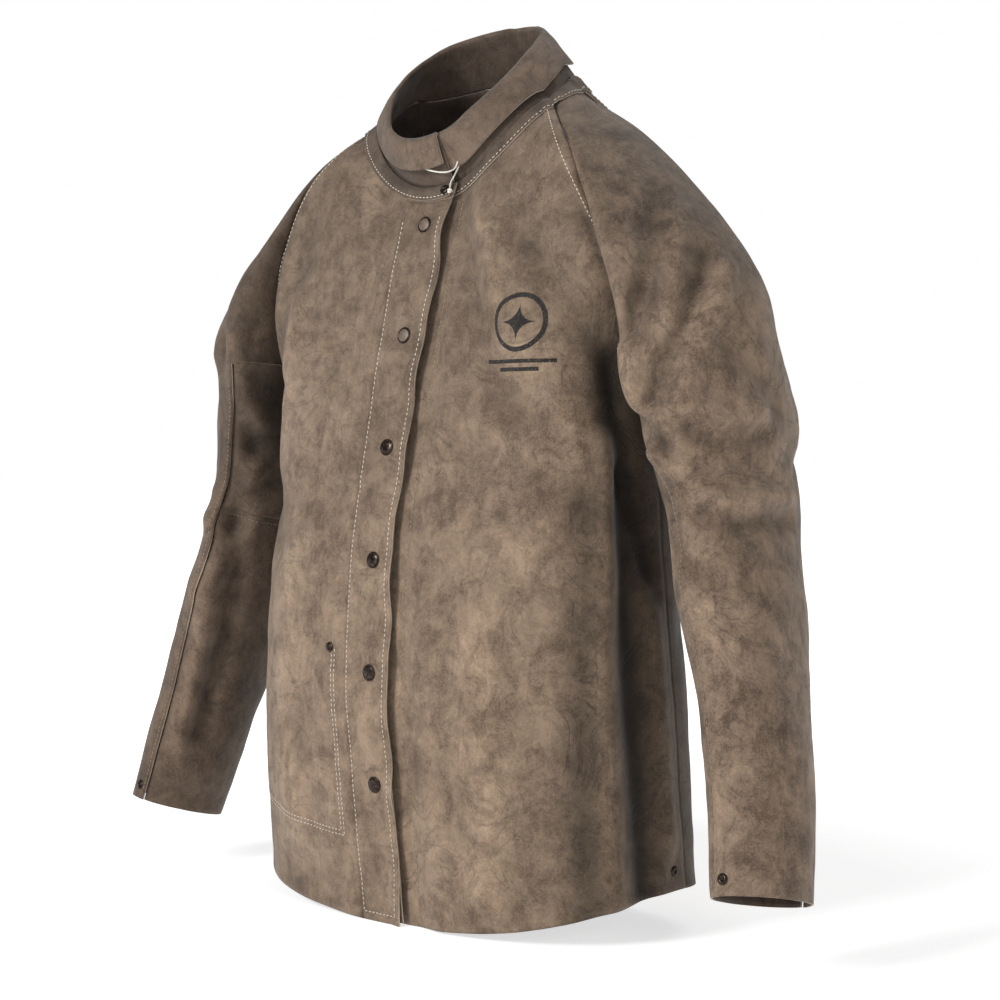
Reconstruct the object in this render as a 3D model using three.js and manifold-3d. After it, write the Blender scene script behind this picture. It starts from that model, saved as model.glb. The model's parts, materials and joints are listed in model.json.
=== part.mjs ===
// Split-leather welding jacket with raglan sleeves, a stand collar and a snap-fastened front.
// Millimetres. +Z is up, the front faces -Y and the wearer's left is +X. The origin lies on the
// level of the lowest hem corner, under the middle of the jacket.
import * as THREE from "three";
import { mergeVertices } from "three/addons/utils/BufferGeometryUtils.js";
import Module from "manifold-3d";

const wasm = await Module();
wasm.setup();

// ---------- driving dimensions ----------
const hide = 1.6; // body, sleeve and collar leather
const lining = 1.2; // facings, pocket bag and hang tab
const ply = 0.35; // air between two layers, or under a metal head
const seam = 0.5; // gap between two panels that a seam joins

const frontLength = 660; // hem to neck seam, down the centre front
const armpitHeight = 505;
const neckSideRise = 77; // neck seam above its centre-front height
const neckBackRise = 115;
const sideHemRise = 40; // the hem rises from the centre front to the side seams
const backHemRise = 30;

const hemHalfWidth = 222;
const underarmHalfWidth = 210;
const frontDepth = 122; // deepest point of the front, ahead of the middle
const backDepth = 121;
const frontFill = 0.3; // how far each half of the body section fills out an ellipse
const backFill = 0.17;
const sideSeamBack = 42; // the side seam at the hem, behind the middle
const underarmBack = 18;

const neckHalfWidth = 102;
const neckHalfDepth = 63;
const neckMiddle = 11; // middle of the neck seam, behind the middle of the body
const collarHalfWidth = 79; // top edge
const collarHalfDepth = 72.5;
const collarMiddle = 2;
const collarFrontHeight = 42;
const collarBackHeight = 53;

const sleeveDrop = 454; // armpit section to cuff
const sleeveSpread = 115; // the cuff hangs this much further out than the armpit section
const sleeveSwing = 62; // and this much further forward
const shoulderCrown = 27; // how far the top of the shoulder rounds out between neck and arm
const crownEnds = 0.4; // share of the sleeve where that rounding has died away
const sleeveHalfThickness = 37;
const sleeveHalfDepth = 94;
const cuffHalfThickness = 34;
const cuffHalfDepth = 54;
const elbowShare = 0.35; // the under-sleeve is pieced at this share of its length

const snapCount = 6;
const snapPitch = 100;
const topSnapDrop = 34;
const capRadius = 7.5;
const placketEdge = 23; // free edge, past the line of snaps
const placketRoot = 30; // where the placket starts to bend, on the other side of that line
const underlap = 24; // how far the left front runs under the placket
const leftFacingEdge = 36;

const pocketFront = 45; // from the line of snaps to the pocket's front row of stitches
const pocketWidth = 150;
const pocketDepth = 176;
const pocketBottom = 74; // above the hem
const pocketInset = 6; // the rivet inside the pocket's top corner
const pocketPly = 1.2; // the bag hangs this far behind the front

const collarRivetInset = 6; // from the placket's free edge
const stripWidth = 12; // the neck strip laps this far over the panels
const headDepth = stripWidth + 1; // the placket's fixed head, under the end of the neck strip
const stripTop = 0.5;
const stripPly = 1.6; // air under it, where it bridges the seams
const standTo = 0.95; // the standing layer reaches this share of the collar's height
const fallFrom = 0.36; // and the turned-down layer comes down to this one
const fallPly = 1.5; // air under the turned-down layer, below its fold
const collarFlare = 5.5; // and stands this much further off the band there

const tabLength = 66;
const tabWidth = 14;
const tabRivetPitch = 48;
const tabDrop = 7.5; // middle of the tab, below the neck seam

const rivetRadius = 4.7;
const rivetInset = 12; // from a cuff or hem edge
const rivetPly = 0.95; // air under a rivet's head and under its burr

// ---------- materials ----------
const suede = new THREE.MeshStandardMaterial({ color: 0x7c6a57, roughness: 0.95, metalness: 0 });
const liningSuede = new THREE.MeshStandardMaterial({ color: 0x4a3c31, roughness: 0.97, metalness: 0 });
const blackMetal = new THREE.MeshStandardMaterial({ color: 0x1c1714, roughness: 0.35, metalness: 0.85 });
const steel = new THREE.MeshStandardMaterial({ color: 0x8f8a82, roughness: 0.4, metalness: 0.9 });
const cotton = new THREE.MeshStandardMaterial({ color: 0xd9d2c4, roughness: 0.9, metalness: 0 });

// ---------- curves ----------
const mix = THREE.MathUtils.lerp;
const ease = (t) => THREE.MathUtils.smoothstep(t, 0, 1);
const radians = THREE.MathUtils.degToRad;

/** A smooth function through rows of [t, value, value, ...]; it returns the values at t as an array. */
function through(rows) {
  const slope = (i, k) => {
    const a = rows[Math.max(i - 1, 0)];
    const b = rows[Math.min(i + 1, rows.length - 1)];
    return (b[k] - a[k]) / (b[0] - a[0]);
  };
  return (t) => {
    let i = 0;
    while (i < rows.length - 2 && t > rows[i + 1][0]) i++;
    const [a, b] = [rows[i], rows[i + 1]];
    const span = b[0] - a[0];
    const s = (t - a[0]) / span;
    const [s2, s3] = [s * s, s * s * s];
    return a.slice(1).map((from, j) => {
      const k = j + 1;
      const start = (2 * s3 - 3 * s2 + 1) * from + (s3 - 2 * s2 + s) * span * slope(i, k);
      return start + (3 * s2 - 2 * s3) * b[k] + (s3 - s2) * span * slope(i + 1, k);
    });
  };
}

/** The neck seam: 0 degrees is the wearer's left, 90 the front, 180 the right and -90 the back. */
function neckSeam(angle) {
  const [c, s] = [Math.cos(radians(angle)), Math.sin(radians(angle))];
  const middle = frontLength + neckBackRise / 2;
  const sideLift = neckSideRise - neckBackRise / 2 + 5;
  const z = middle - (neckBackRise / 2) * s + sideLift * c * c;
  return new THREE.Vector3(neckHalfWidth * c, neckMiddle - neckHalfDepth * s, z);
}

/** The top edge of the collar, by the same angle. */
function collarTop(angle) {
  const [c, s] = [Math.cos(radians(angle)), Math.sin(radians(angle))];
  const front = frontLength + collarFrontHeight;
  const back = frontLength + neckBackRise + collarBackHeight;
  const z = mix(front, back, (1 - s) / 2) + 15 * c * c;
  return new THREE.Vector3(collarHalfWidth * c, collarMiddle - collarHalfDepth * s, z);
}

const FRONT_RAGLAN = 8; // neck-seam angle where each raglan seam starts
const BACK_RAGLAN = -22;
const armpit = new THREE.Vector3(underarmHalfWidth, underarmBack, armpitHeight);

// Raglan seams: share of their length, share across, depth and share down from the neck to the armpit.
const frontRaglanShape = through([
  [0, 0, 0, 0],
  [0.25, 0.46, -0.34, 0.19],
  [0.5, 0.82, -0.43, 0.48],
  [0.75, 1.02, -0.37, 0.74],
  [0.9, 1.05, -0.17, 0.92],
  [1, 1, 0, 1],
]);
const backRaglanShape = through([
  [0, 0, 0, 0],
  [0.25, 0.36, 0.66, 0.24],
  [0.5, 0.72, 0.78, 0.52],
  [0.75, 0.96, 0.64, 0.78],
  [0.9, 1.03, 0.36, 0.93],
  [1, 1, 0, 1],
]);

/** A point of the left raglan seam, from the neck (0) to the armpit (1), on the front or the back. */
function raglan(share, onFront) {
  const start = neckSeam(onFront ? FRONT_RAGLAN : BACK_RAGLAN);
  const [across, depth, down] = (onFront ? frontRaglanShape : backRaglanShape)(share);
  const reach = onFront ? frontDepth : backDepth;
  const y = mix(start.y, armpit.y, ease(share)) + depth * reach - (onFront ? 0 : depth * start.y);
  return new THREE.Vector3(mix(start.x, armpit.x, across), y, mix(start.z, armpit.z, down));
}

// ---------- body ----------
const ARMPIT_ROW = 0.7; // rows run from 0 at the hem to 1 at the neck
const sideTaper = through([
  [0, 0],
  [0.5, -4],
  [0.85, -7],
  [1, 0],
]);
const frontProfile = through([
  [0, 0.85, 0],
  [0.19, 0.96, -3],
  [0.344, 1, -5],
  [0.5, 0.96, -4],
  [0.655, 0.845, 0],
  [0.803, 0.69, 3],
  [0.947, 0.525, 8],
  [1, 0.426, 9],
]);
const backProfile = through([
  [0, 0.92],
  [0.3, 0.97],
  [0.6, 1],
  [0.82, 0.96],
  [1, 0.744],
]);

/** The left edge of a body panel: the side seam up to the armpit, then the raglan seam. */
function panelEdge(row, onFront) {
  if (row > ARMPIT_ROW) return raglan(1 - (row - ARMPIT_ROW) / (1 - ARMPIT_ROW), onFront);
  const s = row / ARMPIT_ROW;
  const x = mix(hemHalfWidth, armpit.x, s) + sideTaper(s)[0];
  return new THREE.Vector3(x, mix(sideSeamBack, armpit.y, s), mix(sideHemRise, armpitHeight, s));
}

/** Centre front. The line of snaps wanders a few millimetres to the side, as hanging leather does. */
function centreFront(row) {
  const [depth, drift] = frontProfile(row);
  return new THREE.Vector3(drift, -frontDepth * depth, frontLength * row);
}

function centreBack(row) {
  const z = mix(backHemRise, frontLength + neckBackRise, row);
  return new THREE.Vector3(0, backDepth * backProfile(row)[0], z);
}

/** Joins a panel's edge to its centre line with a quarter of a filled-out ellipse; 90 degrees is the centre. */
function quarter(edge, centre, angle, fill) {
  const [c, s] = [Math.cos(radians(angle)), Math.sin(radians(angle))];
  return new THREE.Vector3(
    centre.x + (edge.x - centre.x) * c * (1 + fill * s * s),
    edge.y + (centre.y - edge.y) * s * (1 + fill * c * c),
    edge.z + (centre.z - edge.z) * s * s,
  );
}

const fillAt = (row, most) => most * (1 - row * row);

/** The angle at which a front reaches a distance from the line of snaps, towards its own side seam. */
function frontAngle(side, row, fromSnaps) {
  const reach = panelEdge(row, true).x - side * centreFront(row).x;
  return THREE.MathUtils.radToDeg(Math.acos(fromSnaps / (reach * (1 + fillAt(row, frontFill)))));
}

/** Outer face of a front. side is 1 for the wearer's left and -1 for the right. */
function frontFace(side, row, angle) {
  const edge = panelEdge(row, true);
  edge.x *= side;
  return quarter(edge, centreFront(row), angle, fillAt(row, frontFill));
}

function backFace(row, angle) {
  const edge = panelEdge(row, false);
  if (angle > 90) {
    edge.x *= -1;
    return quarter(edge, centreBack(row), 180 - angle, fillAt(row, backFill));
  }
  return quarter(edge, centreBack(row), angle, fillAt(row, backFill));
}

/** Degrees of a panel left free beside its side and raglan seams. */
const seamEdge = (row) => (row > ARMPIT_ROW - 0.06 ? 0.5 : 0.3);

// ---------- sleeves ----------
const shoulderReach = neckSeam(FRONT_RAGLAN).distanceTo(armpit);
const shoulderEdge = 0.0075; // share of a shoulder left free for the raglan seams
const shoulderTop = 1 / shoulderReach; // and for the neck seam
const shoulderBottom = (0.4 * hide) / shoulderReach; // and for the sleeve under it
const bend = (1.05 * hide) / sleeveDrop; // share of the sleeve left free under the shoulder
const cuffRivetShare = 0.075; // share of the outer panel's width in from its front seam
const elbowGap = 0.7 / sleeveDrop;
const outerAngles = [104, -81];
const underAngles = [278.2, 104.8];
const firstRun = new THREE.Vector3(0.265, 0, -0.964); // the sleeve's direction as it leaves the armpit
const firstOut = new THREE.Vector3(0.964, 0, 0.265);
const sleeveMiddle = armpit.clone().addScaledVector(firstOut, sleeveHalfThickness);
// Share of the length; share of the spread, swing and drop; share of the way to the cuff's two sizes.
const sleeveShape = through([
  [0, 0, 0, 0, 0, 0],
  [0.12, 0.13, -0.1, 0.115, 0, 0.08],
  [0.3, 0.31, -0.15, 0.295, -0.6, 0.26],
  [0.48, 0.48, 0.06, 0.475, -0.6, 0.41],
  [0.66, 0.72, 0.4, 0.656, -0.2, 0.72],
  [0.84, 0.885, 0.7, 0.835, 0, 0.95],
  [1, 1, 1, 1, 1, 1],
]);

/** The middle and both half sizes of the left sleeve's section. */
function sleeveSection(share) {
  const [out, forward, down, thin, narrow] = sleeveShape(share);
  const middle = sleeveMiddle
    .clone()
    .add(new THREE.Vector3(sleeveSpread * out, -sleeveSwing * forward, -sleeveDrop * down));
  return {
    middle,
    thickness: mix(sleeveHalfThickness, cuffHalfThickness, thin),
    depth: mix(sleeveHalfDepth, cuffHalfDepth, narrow),
  };
}

/** How much of the shoulder's rounding a point around the sleeve takes: all on its outside, none underneath. */
const crownShare = (angle) => Math.max(Math.cos(radians(angle)), 0) ** 2;

/** Outer face of the left sleeve: 0 degrees is its outside, 90 its front, 180 its inside and 270 its back. */
function sleeveFace(share, angle) {
  const step = 0.02;
  const { middle, thickness, depth } = sleeveSection(share);
  const ahead = sleeveSection(share + step).middle;
  const behind = sleeveSection(Math.max(share - step, 0)).middle;
  const settled = 0.12; // the first run's direction is left behind by this share
  const along = ahead.sub(behind).normalize();
  along.lerp(firstRun, share < step ? 1 : 1 - Math.min(share / settled, 1)).normalize();
  const out = new THREE.Vector3(1, 0, 0).addScaledVector(along, -along.x).normalize();
  const front = new THREE.Vector3().crossVectors(along, out).normalize();
  if (front.y > 0) front.negate();
  const crown = shoulderCrown * Math.cos((Math.PI / 2) * Math.min(share / crownEnds, 1)) ** 2;
  return middle
    .addScaledVector(out, thickness * Math.cos(radians(angle)) + crown * crownShare(angle))
    .addScaledVector(front, depth * Math.sin(radians(angle)));
}

/** Outer face of the left shoulder: share 0 is the neck seam and 1 the armpit section; across runs front to back. */
function shoulderFace(share, across) {
  const neck = (w) => neckSeam(mix(FRONT_RAGLAN, BACK_RAGLAN, w));
  const tube = (w) => {
    const angle = 180 - 360 * w;
    return sleeveFace(0, angle).addScaledVector(firstOut, -shoulderCrown * crownShare(angle));
  };
  const rounding = shoulderCrown * Math.sin((Math.PI / 2) * share) * crownShare(180 - 360 * across);
  const outward = new THREE.Vector3(0.5, 0, 0.87).lerp(firstOut, share).normalize();
  const sides = raglan(share, true).multiplyScalar(1 - across).addScaledVector(raglan(share, false), across);
  const ends = neck(across).multiplyScalar(1 - share).addScaledVector(tube(across), share);
  const corners = neck(0)
    .multiplyScalar((1 - share) * (1 - across))
    .addScaledVector(neck(1), (1 - share) * across)
    .addScaledVector(tube(0), share);
  return sides.add(ends).sub(corners).addScaledVector(outward, rounding);
}

const mirrored = (point, side) => new THREE.Vector3(point.x * side, point.y, point.z);

// ---------- solids ----------
/** The outward unit normal of face(u, v); turn is 1 or -1 and picks the side. */
function normalOf(face, u, v, turn) {
  const d = 1e-3;
  const du = face(Math.min(u + d, 1), v).sub(face(Math.max(u - d, 0), v));
  const dv = face(u, Math.min(v + d, 1)).sub(face(u, Math.max(v - d, 0)));
  return du.cross(dv).normalize().multiplyScalar(turn);
}

/** A closed sheet whose two faces lie `from` and `to` under face(u, v), for u and v from 0 to 1. */
function sheet(face, columns, rows, turn, from, to) {
  const points = [];
  for (const layer of [from, to])
    for (let j = 0; j <= rows; j++)
      for (let i = 0; i <= columns; i++) {
        const [u, v] = [i / columns, j / rows];
        const depth = typeof layer === "function" ? layer(u, v) : layer;
        points.push(...face(u, v).addScaledVector(normalOf(face, u, v, turn), -depth).toArray());
      }
  const at = (layer, i, j) => layer * (rows + 1) * (columns + 1) + j * (columns + 1) + i;
  const index = [];
  const quad = (a, b, c, d) => index.push(a, b, c, a, c, d);
  for (let j = 0; j < rows; j++)
    for (let i = 0; i < columns; i++) {
      quad(at(0, i, j), at(0, i + 1, j), at(0, i + 1, j + 1), at(0, i, j + 1));
      quad(at(1, i, j), at(1, i, j + 1), at(1, i + 1, j + 1), at(1, i + 1, j));
    }
  for (let i = 0; i < columns; i++) {
    quad(at(0, i, 0), at(1, i, 0), at(1, i + 1, 0), at(0, i + 1, 0));
    quad(at(0, i, rows), at(0, i + 1, rows), at(1, i + 1, rows), at(1, i, rows));
  }
  for (let j = 0; j < rows; j++) {
    quad(at(0, 0, j), at(0, 0, j + 1), at(1, 0, j + 1), at(1, 0, j));
    quad(at(0, columns, j), at(1, columns, j), at(1, columns, j + 1), at(0, columns, j + 1));
  }
  if (turn < 0) index.reverse();
  const made = new THREE.BufferGeometry();
  made.setAttribute("position", new THREE.Float32BufferAttribute(points, 3));
  made.setIndex(index);
  return made;
}

/** A body of revolution from [radius, height] rows, top row first, set at a point along an axis. */
function turned(profile, point, axis, sides = 12) {
  const rows = profile.map(([r, h]) => new THREE.Vector2(r, h)).reverse();
  const made = new THREE.LatheGeometry(rows, sides);
  made.applyQuaternion(new THREE.Quaternion().setFromUnitVectors(new THREE.Vector3(0, 1, 0), axis));
  return made.translate(point.x, point.y, point.z);
}

function solidOf(geometry) {
  const bare = geometry.clone();
  bare.deleteAttribute("normal");
  bare.deleteAttribute("uv");
  const merged = mergeVertices(bare, 1e-4);
  return new wasm.Manifold(
    new wasm.Mesh({
      numProp: 3,
      vertProperties: merged.attributes.position.array,
      triVerts: new Uint32Array(merged.index.array),
    }),
  );
}

function geometryOf(solid) {
  const mesh = solid.getMesh();
  const made = new THREE.BufferGeometry();
  made.setAttribute("position", new THREE.BufferAttribute(mesh.vertProperties, 3));
  made.setIndex(new THREE.BufferAttribute(mesh.triVerts, 1));
  made.computeVertexNormals();
  return made;
}

const HOLE_REACH = 14; // a punched hole runs this far to both sides of the outer face

/** Cuts round holes through a sheet: holes is a list of {point, axis, radius}. */
function punched(geometry, holes) {
  let solid = solidOf(geometry);
  for (const { point, axis, radius } of holes) {
    const punch = [
      [0, HOLE_REACH],
      [radius, HOLE_REACH],
      [radius, -HOLE_REACH],
      [0, -HOLE_REACH],
    ];
    solid = solid.subtract(solidOf(turned(punch, point, axis, 8)));
  }
  return geometryOf(solid);
}

const jacket = new THREE.Group();

function add(name, geometry, material) {
  const mesh = new THREE.Mesh(geometry, material);
  mesh.name = name;
  jacket.add(mesh);
}

// ---------- fasteners ----------
const cover = hide + ply + lining; // outer leather and its facing
const underlapDrop = cover + 5.9; // outer face of the left front, under that of the placket
const postHole = 2.1;
const rivetHole = 1.9;

const snaps = Array.from({ length: snapCount }, (_, i) => {
  const row = (frontLength - topSnapDrop - snapPitch * i) / frontLength;
  const face = (u, v) => frontFace(-1, row + (v - 0.5) * 0.02, 90 + (u - 0.5) * 4);
  return { name: `${i + 1}`, row, point: frontFace(-1, row, 90), axis: normalOf(face, 0.5, 0.5, 1) };
});
const snapHoles = snaps.map(({ point, axis }) => ({ point, axis, radius: postHole }));

function snapFastener({ name, point, axis }) {
  const back = underlapDrop + cover; // inner face of the left facing
  add(
    `snap_cap_${name}`,
    turned(
      [
        [0, rivetPly + 1.55],
        [3.6, rivetPly + 1.4],
        [6.4, rivetPly + 0.85],
        [capRadius, rivetPly + 0.3],
        [capRadius, rivetPly],
        [1.5, rivetPly],
        [1.5, -cover - 0.5],
        [0, -cover - 0.5],
      ],
      point,
      axis,
      16,
    ),
    blackMetal,
  );
  add(
    `snap_socket_${name}`,
    turned(
      [
        [2.9, -cover - rivetPly],
        [5.6, -cover - rivetPly],
        [5.6, -cover - rivetPly - 1.95],
        [2.9, -cover - rivetPly - 1.95],
        [2.9, -cover - rivetPly],
      ],
      point,
      axis,
    ),
    steel,
  );
  add(
    `snap_stud_${name}`,
    turned(
      [
        [0, -cover - 0.95],
        [1.8, -cover - 1.15],
        [2.3, -cover - 1.6],
        [2.0, -underlapDrop + rivetPly + 0.7],
        [5.4, -underlapDrop + rivetPly + 0.7],
        [5.4, -underlapDrop + rivetPly],
        [1.65, -underlapDrop + rivetPly],
        [1.65, -underlapDrop + rivetPly + 0.45],
        [0, -underlapDrop + rivetPly + 0.45],
      ],
      point,
      axis,
    ),
    steel,
  );
  add(
    `snap_post_${name}`,
    turned(
      [
        [0, -underlapDrop + 0.45],
        [1.3, -underlapDrop + 0.45],
        [1.3, -back - rivetPly],
        [5.4, -back - rivetPly],
        [5.4, -back - rivetPly - 0.75],
        [0, -back - rivetPly - 0.75],
      ],
      point,
      axis,
    ),
    blackMetal,
  );
}

/** A tubular rivet through a stack of leather: its cap, its post and the burr inside. */
function rivet(name, { point, axis }, stack) {
  add(
    name,
    turned(
      [
        [0, rivetPly + 1.25],
        [2.6, rivetPly + 1.1],
        [rivetRadius, rivetPly + 0.4],
        [rivetRadius, rivetPly],
        [1.4, rivetPly],
        [1.4, -stack - rivetPly],
        [3.9, -stack - rivetPly],
        [3.9, -stack - rivetPly - 0.7],
        [0, -stack - rivetPly - 0.7],
      ],
      point,
      axis,
    ),
    blackMetal,
  );
}

const spot = (face, u, v, turn) => ({ point: face(u, v), axis: normalOf(face, u, v, turn), radius: rivetHole });

// ---------- fronts ----------
const ROWS = 20;
const shoulderRows = Math.round(ROWS * (1 - ARMPIT_ROW)); // level with the panels' rows down the raglan seams
const facingColumns = 4;
const leftOuterColumns = 9;

/** A stretch of a front between two distances from the line of snaps; edge null means the side seam. */
function frontStretch(side, edge, inner, rows = [0, 1], sink = () => 0) {
  return (u, v) => {
    const row = mix(rows[0], rows[1], v);
    const first = edge === null ? seamEdge(row) : frontAngle(side, row, edge);
    const angle = mix(first, frontAngle(side, row, inner), u);
    const point = frontFace(side, row, angle);
    point.y += sink(point.x, row);
    return point;
  };
}

/** Two stretches of a face as one: the first takes a share of the columns. */
const abutted = (first, second, share) => (u, v) =>
  u < share ? first(u / share, v) : second((u - share) / (1 - share), v);

/** The left front steps back under the placket. */
const stepBack = (x, row) => {
  const from = x - centreFront(row).x - placketEdge - 4;
  return underlapDrop * (1 - ease(THREE.MathUtils.clamp(from / 42, 0, 1)));
};

const rightFront = frontStretch(-1, null, placketRoot + seam);
const placketLine = frontStretch(-1, placketRoot, -placketEdge); // the whole edge of the right front
const headRow = 1 - headDepth / frontLength;
const placketFace = frontStretch(-1, placketRoot, -placketEdge, [0, headRow - seam / frontLength]);
const headFace = frontStretch(-1, placketRoot, -placketEdge, [headRow, 1]);
const leftOuter = frontStretch(1, null, leftFacingEdge, [0, 1], stepBack);
const leftInner = frontStretch(1, leftFacingEdge, -underlap, [0, 1], stepBack);
const leftColumns = leftOuterColumns + facingColumns;
const leftFront = abutted(leftOuter, leftInner, leftOuterColumns / leftColumns);

const pocketRows = [pocketBottom / frontLength, (pocketBottom + pocketDepth) / frontLength];
const pocketFace = frontStretch(-1, pocketFront + pocketWidth, pocketFront, pocketRows);
const pocketRivet = spot(pocketFace, 1 - pocketInset / pocketWidth, 1 - pocketInset / pocketDepth, 1);

const hemRow = rivetInset / (armpitHeight - sideHemRise);
const hemRivetShare = { 1: 0.035, [-1]: 0.045 }; // share of each front's width in from its side seam
const hemRivet = {
  1: spot(leftFront, hemRivetShare[1], hemRow, -1),
  [-1]: spot(rightFront, hemRivetShare[-1], hemRow, 1),
};

// ---------- neck ----------
const backHeight = frontLength + neckBackRise - backHemRise;
const backPanel = (u, v) => backFace(v, mix(seamEdge(v), 180 - seamEdge(v), u));
const leftShoulderFace = (u, v) => shoulderFace(v, mix(shoulderEdge, 1 - shoulderEdge, u));

// Stretches of the outer face around the neck, each as (share along, millimetres below the neck seam).
const neckStretches = [
  { columns: facingColumns, face: (u, down) => leftInner(1 - u, 1 - down / frontLength) },
  { columns: leftOuterColumns, face: (u, down) => leftOuter(1 - u, 1 - down / frontLength) },
  { columns: 4, face: (u, down) => leftShoulderFace(u, down / shoulderReach) },
  { columns: 11, face: (u, down) => backPanel(u, 1 - down / backHeight) },
  { columns: 4, face: (u, down) => mirrored(leftShoulderFace(1 - u, down / shoulderReach), -1) },
  { columns: 10, face: (u, down) => rightFront(u, 1 - down / frontLength) },
  { columns: facingColumns, face: (u, down) => placketLine(u, 1 - down / frontLength) },
];
const neckColumns = neckStretches.reduce((sum, { columns }) => sum + columns, 0);

/** A point of the outer face around the neck, from the left front's end to the placket's free edge. */
function aroundNeck(u, down) {
  let left = u * neckColumns;
  for (const { columns, face } of neckStretches) {
    if (left <= columns) return face(left / columns, down);
    left -= columns;
  }
  return neckStretches.at(-1).face(1, down);
}

const stripFace = (u, v) => aroundNeck(u, mix(stripTop, stripWidth, v));
const stripOut = -stripPly - hide; // the strip lies on the outside of the panels

/** Lifts a rivet's place from a panel's outer face to that of the strip over it. */
function onStrip({ point, axis, radius }) {
  return { point: point.addScaledVector(axis, -stripOut), axis, radius };
}

/** The collar's middle layer: u runs from its left end to its right end, v from the neck seam to the top. */
function collarFace(u, v) {
  const base = aroundNeck(u, 0);
  const c = base.x / neckHalfWidth;
  const s = (neckMiddle - base.y) / neckHalfDepth;
  const top = collarTop(THREE.MathUtils.radToDeg(Math.atan2(s, c)));
  if (u < 0.5) top.y += stepBack(base.x, 1);
  base.z += seam;
  return base.lerp(top, v);
}
const collarBand = (from, to) => (u, v) => collarFace(u, mix(from, to, v));
/** Depth of the turned-down layer's inner face. Its left end lies flatter, under the right one. */
const flatEnd = 0.076;
const fallOut = (u, v) =>
  -ply - fallPly * Math.min(4 * (1 - v), 1) - collarFlare * ((1 - v) * Math.min(u / flatEnd, 1)) ** 2;

// ---------- hang tab ----------
/** Inside of the back under the neck seam: x across, down in millimetres below the seam. */
function backInside(x, down) {
  const row = 1 - down / backHeight;
  return backFace(row, THREE.MathUtils.radToDeg(Math.acos(x / panelEdge(row, false).x)));
}
function tabFace(u, v) {
  const x = mix(tabLength / 2, -tabLength / 2, u);
  const past = Math.max(Math.abs(x) - (tabLength - tabWidth) / 2, 0) / (tabWidth / 2);
  const half = (tabWidth / 2) * Math.sqrt(Math.max(1 - past * past, 0.1));
  return backInside(x, tabDrop + mix(half, -half, v));
}
const tabBowDepth = 3; // the strap stands this far off the back between its rivets
const tabBowFrom = 0.2; // share of the strap where the bow starts, from either end
const tabBow = (u) => {
  const share = THREE.MathUtils.clamp((u - tabBowFrom) / (1 - 2 * tabBowFrom), 0, 1);
  return tabBowDepth * Math.sin(Math.PI * share) ** 2;
};
const tabRivetSpot = (side) =>
  onStrip(spot((u, v) => backInside((side * tabRivetPitch) / 2 - u + 0.5, tabDrop + 0.5 - v), 0.5, 0.5, 1));
const tabRivets = { left: tabRivetSpot(1), right: tabRivetSpot(-1) };

// ---------- the pieces ----------
const collarRivetShare = 1 - collarRivetInset / (placketRoot + placketEdge);
const stripDown = (u, v) => placketLine(u, 1 - (stripWidth * (1 - v)) / frontLength);
const collarRivet = onStrip(spot(stripDown, collarRivetShare, 0.5, 1));

add("right_front_panel", punched(sheet(rightFront, 10, ROWS, 1, 0, hide), [pocketRivet, hemRivet[-1]]), suede);
const leftHoles = [hemRivet[1], ...snapHoles];
add("left_front_panel", punched(sheet(leftFront, leftColumns, ROWS, -1, 0, hide), leftHoles), suede);
const leftFacing = sheet(leftInner, facingColumns, ROWS, -1, hide + ply, cover);
add("left_front_facing", punched(leftFacing, snapHoles), liningSuede);
add("placket", punched(sheet(placketFace, facingColumns, ROWS, 1, 0, hide), snapHoles), suede);
const placketFacing = sheet(placketFace, facingColumns, ROWS, 1, hide + ply, cover);
add("placket_facing", punched(placketFacing, snapHoles), liningSuede);
add("placket_head", punched(sheet(headFace, facingColumns, 1, 1, 0, hide), [collarRivet]), suede);
const pocketBag = sheet(pocketFace, 7, 5, 1, hide + pocketPly, hide + pocketPly + lining);
add("pocket_bag", punched(pocketBag, [pocketRivet]), liningSuede);

snaps.forEach(snapFastener);
rivet("pocket_rivet", pocketRivet, hide + pocketPly + lining);
rivet("left_hem_rivet", hemRivet[1], hide);
rivet("right_hem_rivet", hemRivet[-1], hide);
rivet("collar_rivet", collarRivet, hide + stripPly + hide);

const backHoles = Object.values(tabRivets);
add("back_panel", punched(sheet(backPanel, 22, ROWS, 1, 0, hide), backHoles), suede);
add("hang_tab", punched(tabSheet(), backHoles), liningSuede);
for (const [name, place] of Object.entries(tabRivets))
  rivet(`hang_tab_rivet_${name}`, place, hide + stripPly + cover);

const neckStrip = sheet(stripFace, neckColumns, 1, -1, stripOut, -stripPly);
add("neck_strip", punched(neckStrip, [collarRivet, ...backHoles]), suede);
add("collar_stand", sheet(collarBand(0, standTo), neckColumns, 3, 1, 0, hide), suede);
const fallOuter = (u, v) => fallOut(u, v) - hide;
add("collar_fall", sheet(collarBand(fallFrom, 1), neckColumns, 4, 1, fallOuter, fallOut), suede);

/** The strap of the hang tab, bowed a little off the back between its rivets. */
function tabSheet() {
  const under = hide + ply;
  return sheet(tabFace, 12, 2, 1, (u) => under + tabBow(u), (u) => under + lining + tabBow(u));
}

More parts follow.
